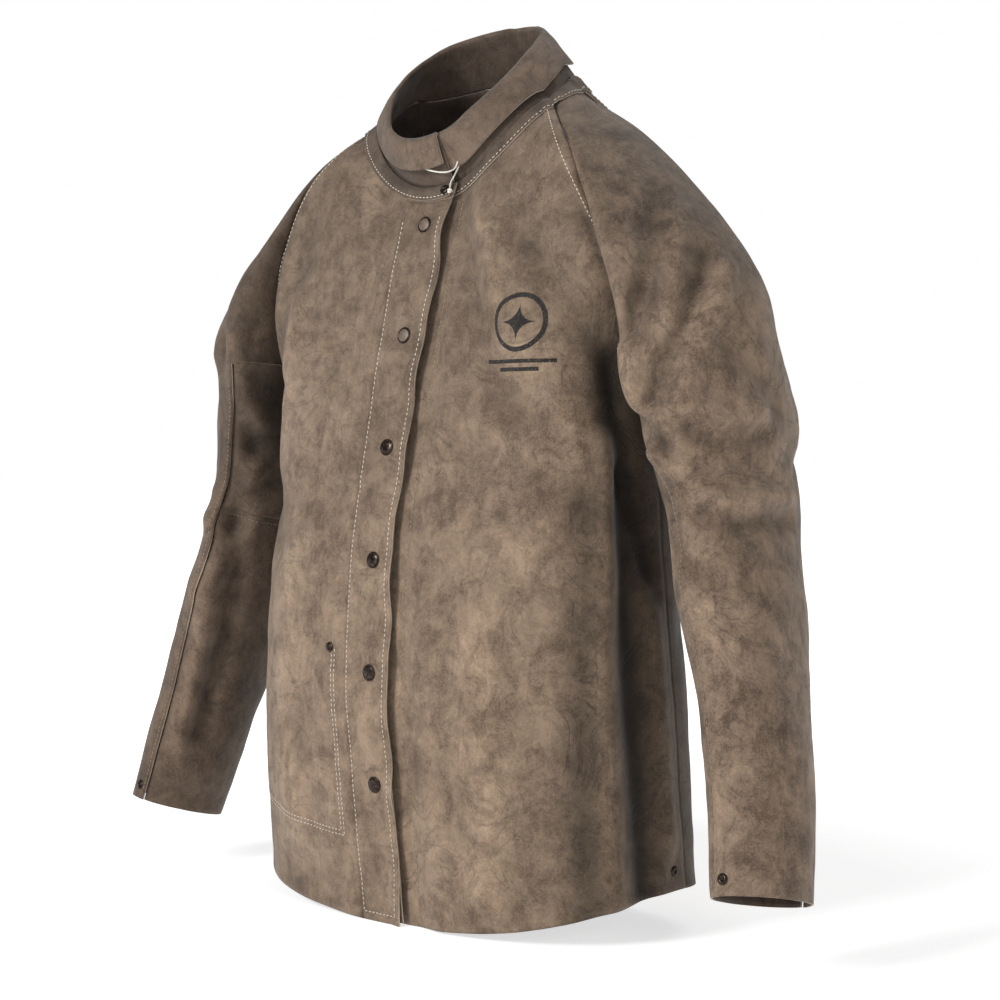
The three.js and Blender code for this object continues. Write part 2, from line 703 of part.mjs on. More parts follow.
for (const side of [1, -1]) {
  const name = side > 0 ? "left" : "right";
  const shoulder = (u, v) => mirrored(leftShoulderFace(u, mix(shoulderTop, 1 - shoulderBottom, v)), side);
  add(`${name}_shoulder`, sheet(shoulder, 16, shoulderRows, -side, 0, hide), suede);

  const stretch = (angles, shares) => (u, v) =>
    mirrored(sleeveFace(mix(shares[0], shares[1], v), mix(angles[0], angles[1], u)), side);
  const outer = stretch(outerAngles, [bend, 1]);
  const cuffRow = 1 - rivetInset / sleeveDrop;
  const cuffRivet = spot(outer, cuffRivetShare, cuffRow, -side);
  add(`${name}_sleeve_outer`, punched(sheet(outer, 12, 14, -side, 0, hide), [cuffRivet]), suede);
  const underTop = stretch(underAngles, [bend, elbowShare - elbowGap]);
  add(`${name}_underarm_panel`, sheet(underTop, 10, 5, -side, 0, hide), suede);
  const underLow = stretch(underAngles, [elbowShare + elbowGap, 1]);
  add(`${name}_forearm_panel`, sheet(underLow, 10, 8, -side, 0, hide), suede);
  rivet(`${name}_cuff_rivet`, cuffRivet, hide);
}

// ---------- tag string ----------
// Tied beside the collar rivet; it runs up under the turned-down collar and comes out again at the front.
const stringRadius = 0.7;
const knotRadius = 2.2;
const knot = [34.2, -58.6, 655];
const stringRoute = [
  [34.0, -58.2, 657.8],
  [33.0, -56.2, 662],
  [33.0, -52.8, 667],
  [34.4, -50.0, 673],
  [37.4, -48.9, 679],
  [40.6, -48.7, 684.5],
  [42.7, -48.4, 690],
  [42.4, -49.4, 694],
  [40.0, -50.5, 695.3],
  [38.0, -50.4, 692.2],
  [36.8, -50.2, 686],
  [35.8, -50.6, 680],
  [35.2, -53.4, 675],
  [32.8, -57.4, 672.4],
  [28.4, -59.0, 671.8],
  [23.2, -59.7, 672.2],
  [17.6, -60.6, 673.2],
  [11.6, -61.7, 674.8],
  [6.0, -62.9, 677.0],
];
const stringPath = new THREE.CatmullRomCurve3(stringRoute.map((place) => new THREE.Vector3(...place)));
const stringSection = new THREE.Shape().absarc(0, 0, stringRadius, 0, 2 * Math.PI);
const stringSteps = { steps: 32, curveSegments: 4, extrudePath: stringPath };
const stringTube = new THREE.ExtrudeGeometry(stringSection, stringSteps);
add("tag_string", stringTube, cotton);
const knotMesh = new THREE.SphereGeometry(knotRadius, 10, 8).translate(...knot);
add("tag_string_knot", knotMesh, cotton);

// The origin lies under the middle of the whole jacket, level with its lowest point.
const whole = new THREE.Box3().setFromObject(jacket);
jacket.position.set(0, -(whole.min.y + whole.max.y) / 2, -whole.min.z);

export default jacket;
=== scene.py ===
"""Split-leather welding jacket: hides, stitching, press studs, rivets and a tag string.

Lengths in this script are millimetres unless a name says metres. +Z is up, the front faces -Y.
"""

import json
import math

import bmesh
import bpy
import numpy as np
from mathutils import Matrix, Vector, noise

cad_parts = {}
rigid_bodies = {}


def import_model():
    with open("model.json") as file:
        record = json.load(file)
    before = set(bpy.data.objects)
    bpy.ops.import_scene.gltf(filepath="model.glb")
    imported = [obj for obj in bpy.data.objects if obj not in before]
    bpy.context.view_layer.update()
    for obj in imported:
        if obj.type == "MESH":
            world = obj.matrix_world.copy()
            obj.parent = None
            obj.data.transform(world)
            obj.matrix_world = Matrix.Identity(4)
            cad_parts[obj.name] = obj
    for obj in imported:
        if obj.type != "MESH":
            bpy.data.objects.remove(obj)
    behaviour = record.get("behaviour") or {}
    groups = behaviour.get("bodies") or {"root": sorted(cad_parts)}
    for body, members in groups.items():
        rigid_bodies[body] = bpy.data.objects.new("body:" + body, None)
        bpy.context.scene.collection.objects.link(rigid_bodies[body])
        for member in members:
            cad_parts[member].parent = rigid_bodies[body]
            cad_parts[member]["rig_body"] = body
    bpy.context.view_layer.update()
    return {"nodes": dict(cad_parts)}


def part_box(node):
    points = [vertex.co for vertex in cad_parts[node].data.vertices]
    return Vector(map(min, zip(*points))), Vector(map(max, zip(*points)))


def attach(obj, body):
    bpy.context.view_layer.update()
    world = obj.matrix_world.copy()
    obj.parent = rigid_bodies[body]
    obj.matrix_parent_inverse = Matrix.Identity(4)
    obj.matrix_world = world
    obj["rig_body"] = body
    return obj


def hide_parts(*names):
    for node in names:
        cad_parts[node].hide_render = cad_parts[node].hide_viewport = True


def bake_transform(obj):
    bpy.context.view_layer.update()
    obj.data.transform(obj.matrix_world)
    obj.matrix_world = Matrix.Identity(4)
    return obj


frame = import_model()
METRES = 0.001


# ---------- camera ----------
def make_camera():
    data = bpy.data.cameras.new("camera")
    data.lens = 76.86
    data.sensor_width = 36
    camera = bpy.data.objects.new("camera", data)
    camera.location = (1.3341, -1.4588, 0.4235)
    camera.rotation_euler = (math.radians(90 - 1.34), 0, math.radians(41.5))
    bpy.context.scene.collection.objects.link(camera)
    bpy.context.scene.camera = camera


make_camera()

# ---------- sizes ----------
HIDE = 1.6
LINING = 1.2
PLY = 0.35
FRONT_LENGTH = 660
ARMPIT_HEIGHT = 505
NECK_SIDE_RISE = 77
NECK_BACK_RISE = 115
SIDE_HEM_RISE = 40
BACK_HEM_RISE = 30
HEM_HALF_WIDTH = 222
FRONT_DEPTH = 122
BACK_DEPTH = 121
FRONT_FILL = 0.3
BACK_FILL = 0.17
SIDE_SEAM_BACK = 42
NECK_HALF_WIDTH = 102
NECK_HALF_DEPTH = 63
NECK_MIDDLE = 11
COLLAR_HALF_WIDTH = 79
COLLAR_HALF_DEPTH = 72.5
COLLAR_MIDDLE = 2
COLLAR_FRONT_HEIGHT = 42
COLLAR_BACK_HEIGHT = 53
SLEEVE_DROP = 454
SLEEVE_SPREAD = 115
SLEEVE_SWING = 62
SHOULDER_CROWN = 27
CROWN_ENDS = 0.4
SLEEVE_HALF_THICKNESS = 37
SLEEVE_HALF_DEPTH = 94
CUFF_HALF_THICKNESS = 34
CUFF_HALF_DEPTH = 54
ELBOW_SHARE = 0.35
SNAP_COUNT = 6
SNAP_PITCH = 100
TOP_SNAP_DROP = 34
PLACKET_EDGE = 23
PLACKET_ROOT = 30
HEAD_DEPTH = 13
UNDERLAP = 24
LEFT_FACING_EDGE = 36
UNDERLAP_DROP = HIDE + PLY + LINING + 5.9
STRIP_WIDTH = 12
STRIP_PLY = 1.6
COLLAR_SIDE_RISE = 15
FALL_FROM = 0.24  # share of the collar's height where its turned-down layer ends
FRONT_SHORTER = 0.16  # the layer is this much shorter at the right front end
LEFT_SHORTER = 0.10  # and this much at the left one
FALL_PLY = 1.5
COLLAR_FLARE = 5.5
SIDE_FLARE = 1.0  # the turned-down layer lies closer to the band away from its right end
FLAT_END = 0.076
COLLAR_STEP = 0.6  # share of the fronts' step that the collar's top keeps
END_TUCK = 1.5
COLLAR_LEAN = 0.94  # the worn collar leans in a little at its top
LEFT_LEAN = 0.87
BACK_SLUMP = 7.0
POCKET_FRONT = 45
POCKET_WIDTH = 150
POCKET_DEPTH = 176
POCKET_BOTTOM = 74
TAB_LENGTH = 66
TAB_WIDTH = 14
TAB_DROP = 7.5
RIVET_PLY = 0.95
ARMPIT = np.array([210.0, 18.0, ARMPIT_HEIGHT])
ARMPIT_ROW = 0.7
FRONT_RAGLAN = 8
BACK_RAGLAN = -22
SEAM = 0.5

# The whole jacket is centred front to back, so the frame sits a little off the sizes' own origin.
SHIFT = np.array([0.0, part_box("back_panel")[1].y / METRES - BACK_DEPTH, 0.0])


# ---------- curves and faces ----------
def mix(a, b, t):
    return a + (b - a) * t


def ease(t):
    t = np.clip(t, 0, 1)
    return t * t * (3 - 2 * t)


def point(x, y, z):
    return np.stack([np.asarray(part, float) for part in np.broadcast_arrays(x, y, z)], axis=-1)


def unit(vectors):
    return vectors / np.maximum(np.linalg.norm(vectors, axis=-1, keepdims=True), 1e-9)


def through(rows):
    """A smooth function through rows of (t, value, ...). It gives one array for each value."""
    table = np.array(rows, float)
    knots, values = table[:, 0], table[:, 1:]
    before = np.maximum(np.arange(len(knots)) - 1, 0)
    after = np.minimum(np.arange(len(knots)) + 1, len(knots) - 1)
    slopes = (values[after] - values[before]) / (knots[after] - knots[before])[:, None]

    def at(t):
        t = np.asarray(t, float)
        i = np.clip(np.searchsorted(knots, t, side="left") - 1, 0, len(knots) - 2)
        span = (knots[i + 1] - knots[i])[..., None]
        s = (t - knots[i])[..., None] / span
        start = (2 * s**3 - 3 * s**2 + 1) * values[i] + (s**3 - 2 * s**2 + s) * span * slopes[i]
        end = (3 * s**2 - 2 * s**3) * values[i + 1] + (s**3 - s**2) * span * slopes[i + 1]
        return np.moveaxis(start + end, -1, 0)

    return at


def turn_of(angle):
    return np.cos(np.radians(angle)), np.sin(np.radians(angle))


def neck_seam(angle):
    """The neck seam: 0 degrees is the wearer's left, 90 the front, 180 the right and -90 the back."""
    c, s = turn_of(angle)
    side_lift = NECK_SIDE_RISE - NECK_BACK_RISE / 2 + 5
    z = FRONT_LENGTH + NECK_BACK_RISE / 2 * (1 - s) + side_lift * c * c
    return point(NECK_HALF_WIDTH * c, NECK_MIDDLE - NECK_HALF_DEPTH * s, z)


def collar_top(angle):
    c, s = turn_of(angle)
    front = FRONT_LENGTH + COLLAR_FRONT_HEIGHT
    back = FRONT_LENGTH + NECK_BACK_RISE + COLLAR_BACK_HEIGHT
    height = mix(front, back, (1 - s) / 2) + COLLAR_SIDE_RISE * c * c
    return point(COLLAR_HALF_WIDTH * c, COLLAR_MIDDLE - COLLAR_HALF_DEPTH * s, height)


front_raglan_shape = through([
    (0, 0, 0, 0), (0.25, 0.46, -0.34, 0.19), (0.5, 0.82, -0.43, 0.48),
    (0.75, 1.02, -0.37, 0.74), (0.9, 1.05, -0.17, 0.92), (1, 1, 0, 1),
])
back_raglan_shape = through([
    (0, 0, 0, 0), (0.25, 0.36, 0.66, 0.24), (0.5, 0.72, 0.78, 0.52),
    (0.75, 0.96, 0.64, 0.78), (0.9, 1.03, 0.36, 0.93), (1, 1, 0, 1),
])
side_taper = through([(0, 0), (0.5, -4), (0.85, -7), (1, 0)])
front_profile = through([
    (0, 0.85, 0), (0.19, 0.96, -3), (0.344, 1, -5), (0.5, 0.96, -4),
    (0.655, 0.845, 0), (0.803, 0.69, 3), (0.947, 0.525, 8), (1, 0.426, 9),
])
back_profile = through([(0, 0.92), (0.3, 0.97), (0.6, 1), (0.82, 0.96), (1, 0.744)])
# How far the placket's free edge wanders to the side, from the hem up.
edge_wander = through([
    (0, -13), (0.04, -12), (0.07, -8), (0.094, -6), (0.12, -9), (0.163, -6), (0.2, -3), (0.25, -4),
    (0.3, -5), (0.35, 0), (0.46, 0), (0.54, -4), (0.6, 0), (0.66, 1), (0.7, -2), (0.735, -5),
    (0.78, 2), (0.83, 4),
    (0.9, 6), (0.94, 1), (0.97, 3), (1, 5),
])


def raglan(share, on_front):
    """A point of the left raglan seam, from the neck (0) to the armpit (1)."""
    start = neck_seam(FRONT_RAGLAN if on_front else BACK_RAGLAN)
    across, depth, down = (front_raglan_shape if on_front else back_raglan_shape)(share)
    reach = FRONT_DEPTH if on_front else BACK_DEPTH - start[1]
    y = mix(start[1], ARMPIT[1], ease(share)) + depth * reach
    return point(mix(start[0], ARMPIT[0], across), y, mix(start[2], ARMPIT[2], down))


def panel_edge(row, on_front):
    s = np.clip(row / ARMPIT_ROW, 0, 1)
    x = mix(HEM_HALF_WIDTH, ARMPIT[0], s) + side_taper(s)[0]
    side = point(x, mix(SIDE_SEAM_BACK, ARMPIT[1], s), mix(SIDE_HEM_RISE, ARMPIT_HEIGHT, s))
    up = raglan(1 - np.clip((row - ARMPIT_ROW) / (1 - ARMPIT_ROW), 0, 1), on_front)
    return np.where((row > ARMPIT_ROW)[..., None], up, side)


def centre_front(row):
    depth, drift = front_profile(row)
    return point(drift, -FRONT_DEPTH * depth, FRONT_LENGTH * row)


def centre_back(row):
    z = mix(BACK_HEM_RISE, FRONT_LENGTH + NECK_BACK_RISE, row)
    return point(0 * row, BACK_DEPTH * back_profile(row)[0], z)


def quarter(edge, centre, angle, fill):
    c, s = turn_of(angle)
    x = centre[..., 0] + (edge[..., 0] - centre[..., 0]) * c * (1 + fill * s * s)
    y = edge[..., 1] + (centre[..., 1] - edge[..., 1]) * s * (1 + fill * c * c)
    return point(x, y, edge[..., 2] + (centre[..., 2] - edge[..., 2]) * s * s)


def front_angle(side, row, from_snaps):
    reach = panel_edge(row, True)[..., 0] - side * centre_front(row)[..., 0]
    return np.degrees(np.arccos(from_snaps / (reach * (1 + FRONT_FILL * (1 - row * row)))))


def front_face(side, row, angle):
    edge = panel_edge(row, True) * [side, 1, 1]
    return quarter(edge, centre_front(row), angle, FRONT_FILL * (1 - row * row))


def back_face(row, angle):
    left = (angle <= 90)[..., None]
    edge = panel_edge(row, False) * np.where(left, [1, 1, 1], [-1, 1, 1])
    turn = np.where(angle > 90, 180 - angle, angle)
    return quarter(edge, centre_back(row), turn, BACK_FILL * (1 - row * row))


def seam_edge(row):
    return np.where(row > ARMPIT_ROW - 0.06, 0.5, 0.3)


def step_back(x, row):
    from_edge = x - centre_front(row)[..., 0] - PLACKET_EDGE - 4
    return UNDERLAP_DROP * (1 - ease(from_edge / 42))


def front_stretch(side, edge, inner, rows=(0, 1), sunk=False):
    """A stretch of a front between two distances from the line of snaps; edge None means the side seam."""
    def face(u, v):
        row = mix(rows[0], rows[1], v)
        last = front_angle(side, row, inner(row) if callable(inner) else inner)
        angle = mix(seam_edge(row) if edge is None else front_angle(side, row, edge), last, u)
        made = front_face(side, row, angle)
        if sunk:
            made[..., 1] += step_back(made[..., 0], row)
        return made
    return face


def two_stretches(first, second, share):
    def face(u, v):
        a = first(np.clip(u / share, 0, 1), v)
        b = second(np.clip((u - share) / (1 - share), 0, 1), v)
        return np.where((u < share)[..., None], a, b)
    return face


sleeve_shape = through([
    (0, 0, 0, 0, 0, 0), (0.12, 0.13, -0.1, 0.115, 0, 0.08), (0.3, 0.31, -0.15, 0.295, -0.6, 0.26),
    (0.48, 0.48, 0.06, 0.475, -0.6, 0.41), (0.66, 0.72, 0.4, 0.656, -0.2, 0.72),
    (0.84, 0.885, 0.7, 0.835, 0, 0.95), (1, 1, 1, 1, 1, 1),
])
FIRST_RUN = np.array([0.265, 0, -0.964])
FIRST_OUT = np.array([0.964, 0, 0.265])
SLEEVE_START = ARMPIT + FIRST_OUT * SLEEVE_HALF_THICKNESS


def sleeve_section(share):
    out, forward, down, thin, narrow = sleeve_shape(share)
    middle = SLEEVE_START + point(SLEEVE_SPREAD * out, -SLEEVE_SWING * forward, -SLEEVE_DROP * down)
    thickness = mix(SLEEVE_HALF_THICKNESS, CUFF_HALF_THICKNESS, thin)
    return middle, thickness, mix(SLEEVE_HALF_DEPTH, CUFF_HALF_DEPTH, narrow)


def crown_share(angle):
    return np.maximum(np.cos(np.radians(angle)), 0) ** 2


def sleeve_face(share, angle):
    """Outer face of the left sleeve: 0 degrees is its outside, 90 its front, 180 its inside."""
    step = 0.02
    middle, thickness, depth = sleeve_section(share)
    along = unit(sleeve_section(share + step)[0] - sleeve_section(np.maximum(share - step, 0))[0])
    first = np.where(share < step, 1, np.clip(1 - share / 0.12, 0, 1))[..., None]
    along = unit(mix(along, FIRST_RUN, first))
    out = unit(np.array([1.0, 0, 0]) - along * along[..., :1])
    ahead = np.cross(along, out)
    ahead *= np.where(ahead[..., 1:2] > 0, -1, 1)
    c, s = turn_of(angle)
    fading = np.cos(math.pi / 2 * np.minimum(share / CROWN_ENDS, 1)) ** 2
    crown = SHOULDER_CROWN * fading * crown_share(angle)
    return middle + out * (thickness * c + crown)[..., None] + ahead * (depth * s)[..., None]


def shoulder_face(share, across):
    s, w = share[..., None], across[..., None]
    sides = raglan(share, True) * (1 - w) + raglan(share, False) * w
    angle = 180 - 360 * across
    tube = sleeve_face(0 * share, angle) - FIRST_OUT * (SHOULDER_CROWN * crown_share(angle))[..., None]
    ends = neck_seam(mix(FRONT_RAGLAN, BACK_RAGLAN, across)) * (1 - s) + tube * s
    outward = unit(mix(np.array([0.5, 0, 0.87]), FIRST_OUT, s))
    rounding = SHOULDER_CROWN * np.sin(math.pi / 2 * share) * crown_share(angle)
    neck = neck_seam(FRONT_RAGLAN) * (1 - s) * (1 - w) + neck_seam(BACK_RAGLAN) * (1 - s) * w
    return sides + ends - neck - ARMPIT * s + outward * rounding[..., None]


SHOULDER_PART = 0.34  # share of a raglan panel's rows above the armpit
# The outer panel's edges, as shares around the sleeve.
OUTER_FROM, OUTER_TO = (180 - 104) / 360, (180 + 81) / 360


def sleeve_skin(u, v):
    """The raglan sleeve's outer face. The part with u from 0.25 to 0.75 runs on to the cuff."""
    across = np.interp(u, [0, 0.25, 0.75, 1], [0, OUTER_FROM, OUTER_TO, 1])
    top = shoulder_face(np.clip(v / SHOULDER_PART, 0, 1), across)
    low = sleeve_face(np.clip((v - SHOULDER_PART) / (1 - SHOULDER_PART), 0, 1), 180 - 360 * across)
    return np.where((v < SHOULDER_PART)[..., None], top, low)


def under_skin(shares):
    def face(u, v):
        return sleeve_face(mix(shares[0], shares[1], v), mix(279, 104, u))
    return face


def mirrored(face):
    return lambda u, v: face(u, v) * [-1, 1, 1]


# ---------- the neck ----------
def placket_inner(row):
    return -PLACKET_EDGE - edge_wander(row)[0] * 0.5


placket_line = front_stretch(-1, PLACKET_ROOT, -PLACKET_EDGE)
right_front = front_stretch(-1, None, PLACKET_ROOT)
left_outer = front_stretch(1, None, LEFT_FACING_EDGE, sunk=True)
left_inner = front_stretch(1, LEFT_FACING_EDGE, -UNDERLAP, sunk=True)
shoulder_reach = float(np.linalg.norm(neck_seam(FRONT_RAGLAN) - ARMPIT))
back_height = FRONT_LENGTH + NECK_BACK_RISE - BACK_HEM_RISE


def back_panel(u, v):
    return back_face(v, mix(seam_edge(v), 180 - seam_edge(v), u))


def left_shoulder_face(u, v):
    return shoulder_face(v, mix(0.005, 0.995, u))


NECK_STRETCHES = [
    (4, lambda u, down: left_inner(1 - u, 1 - down / FRONT_LENGTH)),
    (9, lambda u, down: left_outer(1 - u, 1 - down / FRONT_LENGTH)),
    (4, lambda u, down: left_shoulder_face(u, down / shoulder_reach)),
    (11, lambda u, down: back_panel(u, 1 - down / back_height)),
    (4, lambda u, down: left_shoulder_face(1 - u, down / shoulder_reach) * [-1, 1, 1]),
    (10, lambda u, down: right_front(u, 1 - down / FRONT_LENGTH)),
    (4, lambda u, down: placket_line(u, 1 - down / FRONT_LENGTH)),
]
NECK_COLUMNS = sum(columns for columns, face in NECK_STRETCHES)


def around_neck(u, down):
    """The outer face around the neck, from the left front's end to the placket's free edge."""
    u, down = np.broadcast_arrays(np.asarray(u, float), np.asarray(down, float))
    made = np.zeros(u.shape + (3,))
    start = 0
    for columns, face in NECK_STRETCHES:
        share = u * NECK_COLUMNS - start
        chosen = (share >= -1e-9) & (share <= columns + 1e-9)
        made[chosen] = face(np.clip(share[chosen] / columns, 0, 1), down[chosen])
        start += columns
    return made


def collar_face(u, v):
    base = around_neck(u, 0 * u)
    ahead, across = (NECK_MIDDLE - base[..., 1]) / NECK_HALF_DEPTH, base[..., 0] / NECK_HALF_WIDTH
    angle = np.degrees(np.arctan2(ahead, across))
    top = collar_top(angle)
    top[..., 1] += np.where(u < 0.5, COLLAR_STEP * step_back(base[..., 0], np.ones_like(u)), 0)
    top[..., 1] += END_TUCK * ease((u - 0.93) / 0.07)
    base[..., 2] += SEAM
    top[..., 0] *= np.where(top[..., 0] > 0, LEFT_LEAN, COLLAR_LEAN)
    top[..., 2] -= BACK_SLUMP * np.clip((top[..., 1] - COLLAR_MIDDLE) / COLLAR_HALF_DEPTH + 1, 0, 2) / 2
    top[..., 1] = mix(NECK_MIDDLE, top[..., 1], COLLAR_LEAN)
    return mix(base, top, v[..., None])


def fall_out(u, v):
    most = mix(SIDE_FLARE, COLLAR_FLARE, ease((u - 0.84) / 0.1))
    flare = most * ((1 - v) * np.minimum(u / FLAT_END, 1)) ** 2
    return PLY + FALL_PLY * np.minimum(4 * (1 - v), 1) + flare


# ---------- fastener places ----------
def spot(face, u, v, turn):
    """Where a fastener sits on a face, and the face's outward direction there."""
    d = 1e-3
    us, vs = np.array([u, u - d, u + d, u, u]), np.array([v, v, v, v - d, v + d])
    p = face(us, vs)
    axis = unit(np.cross(p[2] - p[1], p[4] - p[3])) * turn
    return p[0], axis


snap_rows = [(FRONT_LENGTH - TOP_SNAP_DROP - SNAP_PITCH * i) / FRONT_LENGTH for i in range(SNAP_COUNT)]
snap_spots = [
    spot(lambda u, v, row=row: front_face(-1, row + (v - 0.5) * 0.02, 90 + (u - 0.5) * 4), 0.5, 0.5, 1)
    for row in snap_rows
]


def centre_of(node):
    low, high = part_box(node)
    return np.array((low + high) / 2) / METRES - SHIFT


RIVETS = ["pocket_rivet", "left_hem_rivet", "right_hem_rivet", "left_cuff_rivet", "right_cuff_rivet"]
calm_spots = [place for place, axis in snap_spots] + [centre_of(name) for name in RIVETS]
CALM_REACH = 16

# ---------- relief ----------
# Folds and tucks in the leather: height, half width, then the points that each one runs through.
FOLDS = [
    (-8, 14, [(234, -8, 640), (243, -35, 612), (256, -50, 579), (262, -60, 553), (259, -68, 526)]),
    (6, 13, [(250, -4, 640), (262, -28, 606), (274, -44, 570), (276, -56, 530)]),
    (-8, 9, [(255, -61, 563), (252, -68, 548), (246, -72, 525)]),
    (-9, 12, [(278, -11, 585), (283, -26, 563), (284, -44, 525), (278, -56, 501), (270, -63, 473),
              (258, -64, 452)]),
    (8, 12, [(292, 0, 575), (298, -20, 545), (298, -42, 510), (290, -54, 478), (278, -62, 450)]),
    (8, 12, [(248, -66, 505), (250, -68, 480), (252, -64, 458)]),
    (-7, 8, [(240, -54, 452), (254, -62, 440), (276, -58, 428)]),
    (7, 10, [(262, -62, 418), (276, -56, 408), (290, -48, 404)]),
    (6, 10, [(292, -45, 456), (306, -24, 448), (318, 17, 457)]),
    (-6, 9, [(292, -47, 438), (307, -24, 430), (319, 17, 438)]),
    (6, 10, [(301, -44, 387), (319, -13, 382), (324, 57, 385)]),
    (-6, 9, [(302, -46, 368), (321, -14, 363), (326, 50, 366)]),
    (-6, 12, [(306, -20, 520), (312, 10, 490), (316, 40, 462)]),
    (5, 14, [(318, -60, 300), (338, -30, 240), (350, -10, 170)]),
    (-5, 12, [(306, -60, 330), (328, -40, 280), (344, -20, 215)]),
    (-6, 13, [(268, -54, 410), (272, -54, 380), (284, -56, 340)]),
    (8, 13, [(194, -40, 430), (199, -39, 330), (201, -49, 246), (205, -46, 161), (209, -42, 40)]),
    (-8, 13, [(202, -22, 400), (206, -24, 329), (210, -20, 227), (214, -14, 123), (217, -10, 48)]),
    (6, 12, [(210, 6, 300), (213, 12, 240), (217, 16, 150), (220, 20, 60)]),
    (-7, 12, [(198, -36, 500), (200, -30, 450), (204, -12, 380), (210, 10, 300)]),
    (-6, 18, [(92, -54, 660), (149, -67, 586), (193, -53, 525)]),
    (6, 18, [(71, -57, 644), (111, -76, 553), (160, -68, 480), (186, -50, 420)]),
    (-5, 17, [(56, -64, 630), (84, -86, 540), (130, -84, 450)]),
    (4, 15, [(70, -95, 450), (141, -84, 432), (194, -40, 398)]),
    (-4, 13, [(70, -100, 428), (140, -88, 408), (190, -44, 372)]),
    (-2, 3.5, [(-200, -40, 396), (-69, -105, 389), (10, -118, 388), (109, -100, 388), (200, -36, 386)]),
    (7, 12, [(-240, -72, 530), (-240, -62, 480), (-236, -44, 450)]),
    (-8, 10, [(-252, -72, 530), (-254, -60, 485), (-250, -48, 450), (-246, -40, 425)]),
    (7, 12, [(-284, -58, 380), (-292, -56, 300), (-308, -60, 210), (-328, -70, 130)]),
    (-8, 12, [(-262, -48, 380), (-274, -44, 290), (-298, -42, 210), (-316, -54, 140)]),
    (7, 13, [(-261, -31, 354), (-279, -48, 314), (-302, -58, 284), (-324, -20, 250)]),
    (-6, 11, [(-300, -34, 420), (-292, -44, 380), (-270, -46, 350)]),
    (6, 12, [(-249, -35, 404), (-267, -46, 374), (-286, -55, 354)]),
    (6, 12, [(-322, -20, 340), (-316, -44, 290), (-300, -58, 240)]),
    (-6, 14, [(-296, -10, 560), (-300, -30, 520), (-290, -50, 480)]),
    (6, 14, [(-280, -30, 600), (-284, -48, 560), (-272, -62, 520)]),
    (-6, 17, [(-137, -40, 690), (-150, -60, 610), (-174, -60, 530)]),
    (5, 16, [(-150, -76, 560), (-168, -72, 470), (-176, -66, 400)]),
    (-6, 16, [(-190, -40, 480), (-180, -60, 400), (-150, -88, 330)]),
    (4, 20, [(-120, -100, 300), (-130, -100, 200), (-120, -96, 80)]),
    (5, 22, [(110, -104, 260), (120, -100, 160), (116, -92, 40)]),
    (-5, 22, [(160, -84, 300), (160, -82, 180), (158, -78, 40)]),
    (5, 24, [(-60, 118, 640), (-110, 108, 540), (-150, 90, 430)]),
    (5, 24, [(60, 118, 640), (110, 108, 540), (150, 90, 430)]),
    (-5, 26, [(0, 120, 520), (10, 121, 400), (0, 120, 250), (-6, 116, 60)]),
    (5, 20, [(-80, 110, 300), (-90, 108, 180), (-84, 104, 40)]),
    (5, 20, [(90, 108, 320), (84, 108, 180), (92, 102, 40)]),
    (-5, 16, [(160, 86, 480), (180, 72, 380), (196, 56, 260)]),
    (-5, 16, [(-160, 86, 480), (-180, 72, 380), (-196, 56, 260)]),
    (6, 14, [(260, 104, 520), (286, 104, 470), (310, 94, 430)]),
    (-6, 12, [(266, 100, 470), (290, 100, 430), (316, 84, 400)]),
    (6, 14, [(-260, 104, 520), (-286, 104, 470), (-310, 94, 430)]),
    (-6, 12, [(-266, 100, 470), (-290, 100, 430), (-316, 84, 400)]),
]


def distance_to(points, route):
    """Each point's distance from a line through a few places."""
    best = np.full(points.shape[:-1], 1e9)
    for a, b in zip(np.array(route[:-1], float), np.array(route[1:], float)):
        run = b - a
        t = np.clip(((points - a) @ run) / (run @ run), 0, 1)
        best = np.minimum(best, np.linalg.norm(points - a - t[..., None] * run, axis=-1))
    return best


def noise_at(points, size, seed):
    """Smooth noise from about -1 to 1 with features of a given size."""
    flat = points.reshape(-1, 3) / size + seed * 17.3
    return np.array([noise.noise(Vector(place)) for place in flat]).reshape(points.shape[:-1])


def relief(points, strength=1.0):
    """How far the leather stands off its pattern shape: slow waves, small ripples, folds and tucks."""
    height = 2.4 * noise_at(points, 95, 1) + 1.1 * noise_at(points, 38, 2) + 0.35 * noise_at(points, 15, 3)
    for rise, width, route in FOLDS:
        height += rise * np.exp(-((distance_to(points, route) / width) ** 2))
    calm = np.ones(points.shape[:-1])
    for place in calm_spots:
        calm *= 1 - np.exp(-((np.linalg.norm(points - place, axis=-1) / CALM_REACH) ** 2))
    calm *= 0.25 + 0.75 * ease((FRONT_LENGTH + 5 - points[..., 2]) / 60)
    return height * calm * strength


# ---------- shader groups ----------
def new_group(name, inputs, outputs):
    group = bpy.data.node_groups.new(name, "ShaderNodeTree")
    for label, kind, value in inputs:
        socket = group.interface.new_socket(label, in_out="INPUT", socket_type=kind)
        socket.default_value = value
    for label, kind in outputs:
        group.interface.new_socket(label, in_out="OUTPUT", socket_type=kind)
    return group, group.nodes.new("NodeGroupInput"), group.nodes.new("NodeGroupOutput")


def node(tree, kind, links=None, **settings):
    """Adds a node; settings name its properties, links its input sockets by name or number."""
    made = tree.nodes.new(kind)
    for key, value in settings.items():
        setattr(made, key, value)
    for key, value in (links or {}).items():
        socket = made.inputs[key]
        if isinstance(value, bpy.types.NodeSocket):
            tree.links.new(value, socket)
        else:
            socket.default_value = value
    return made


def math_node(tree, operation, a, b=0.0, c=0.5):
    return node(tree, "ShaderNodeMath", {0: a, 1: b, 2: c}, operation=operation).outputs[0]


def vector_node(tree, operation, links, output=0):
    return node(tree, "ShaderNodeVectorMath", links, operation=operation).outputs[output]


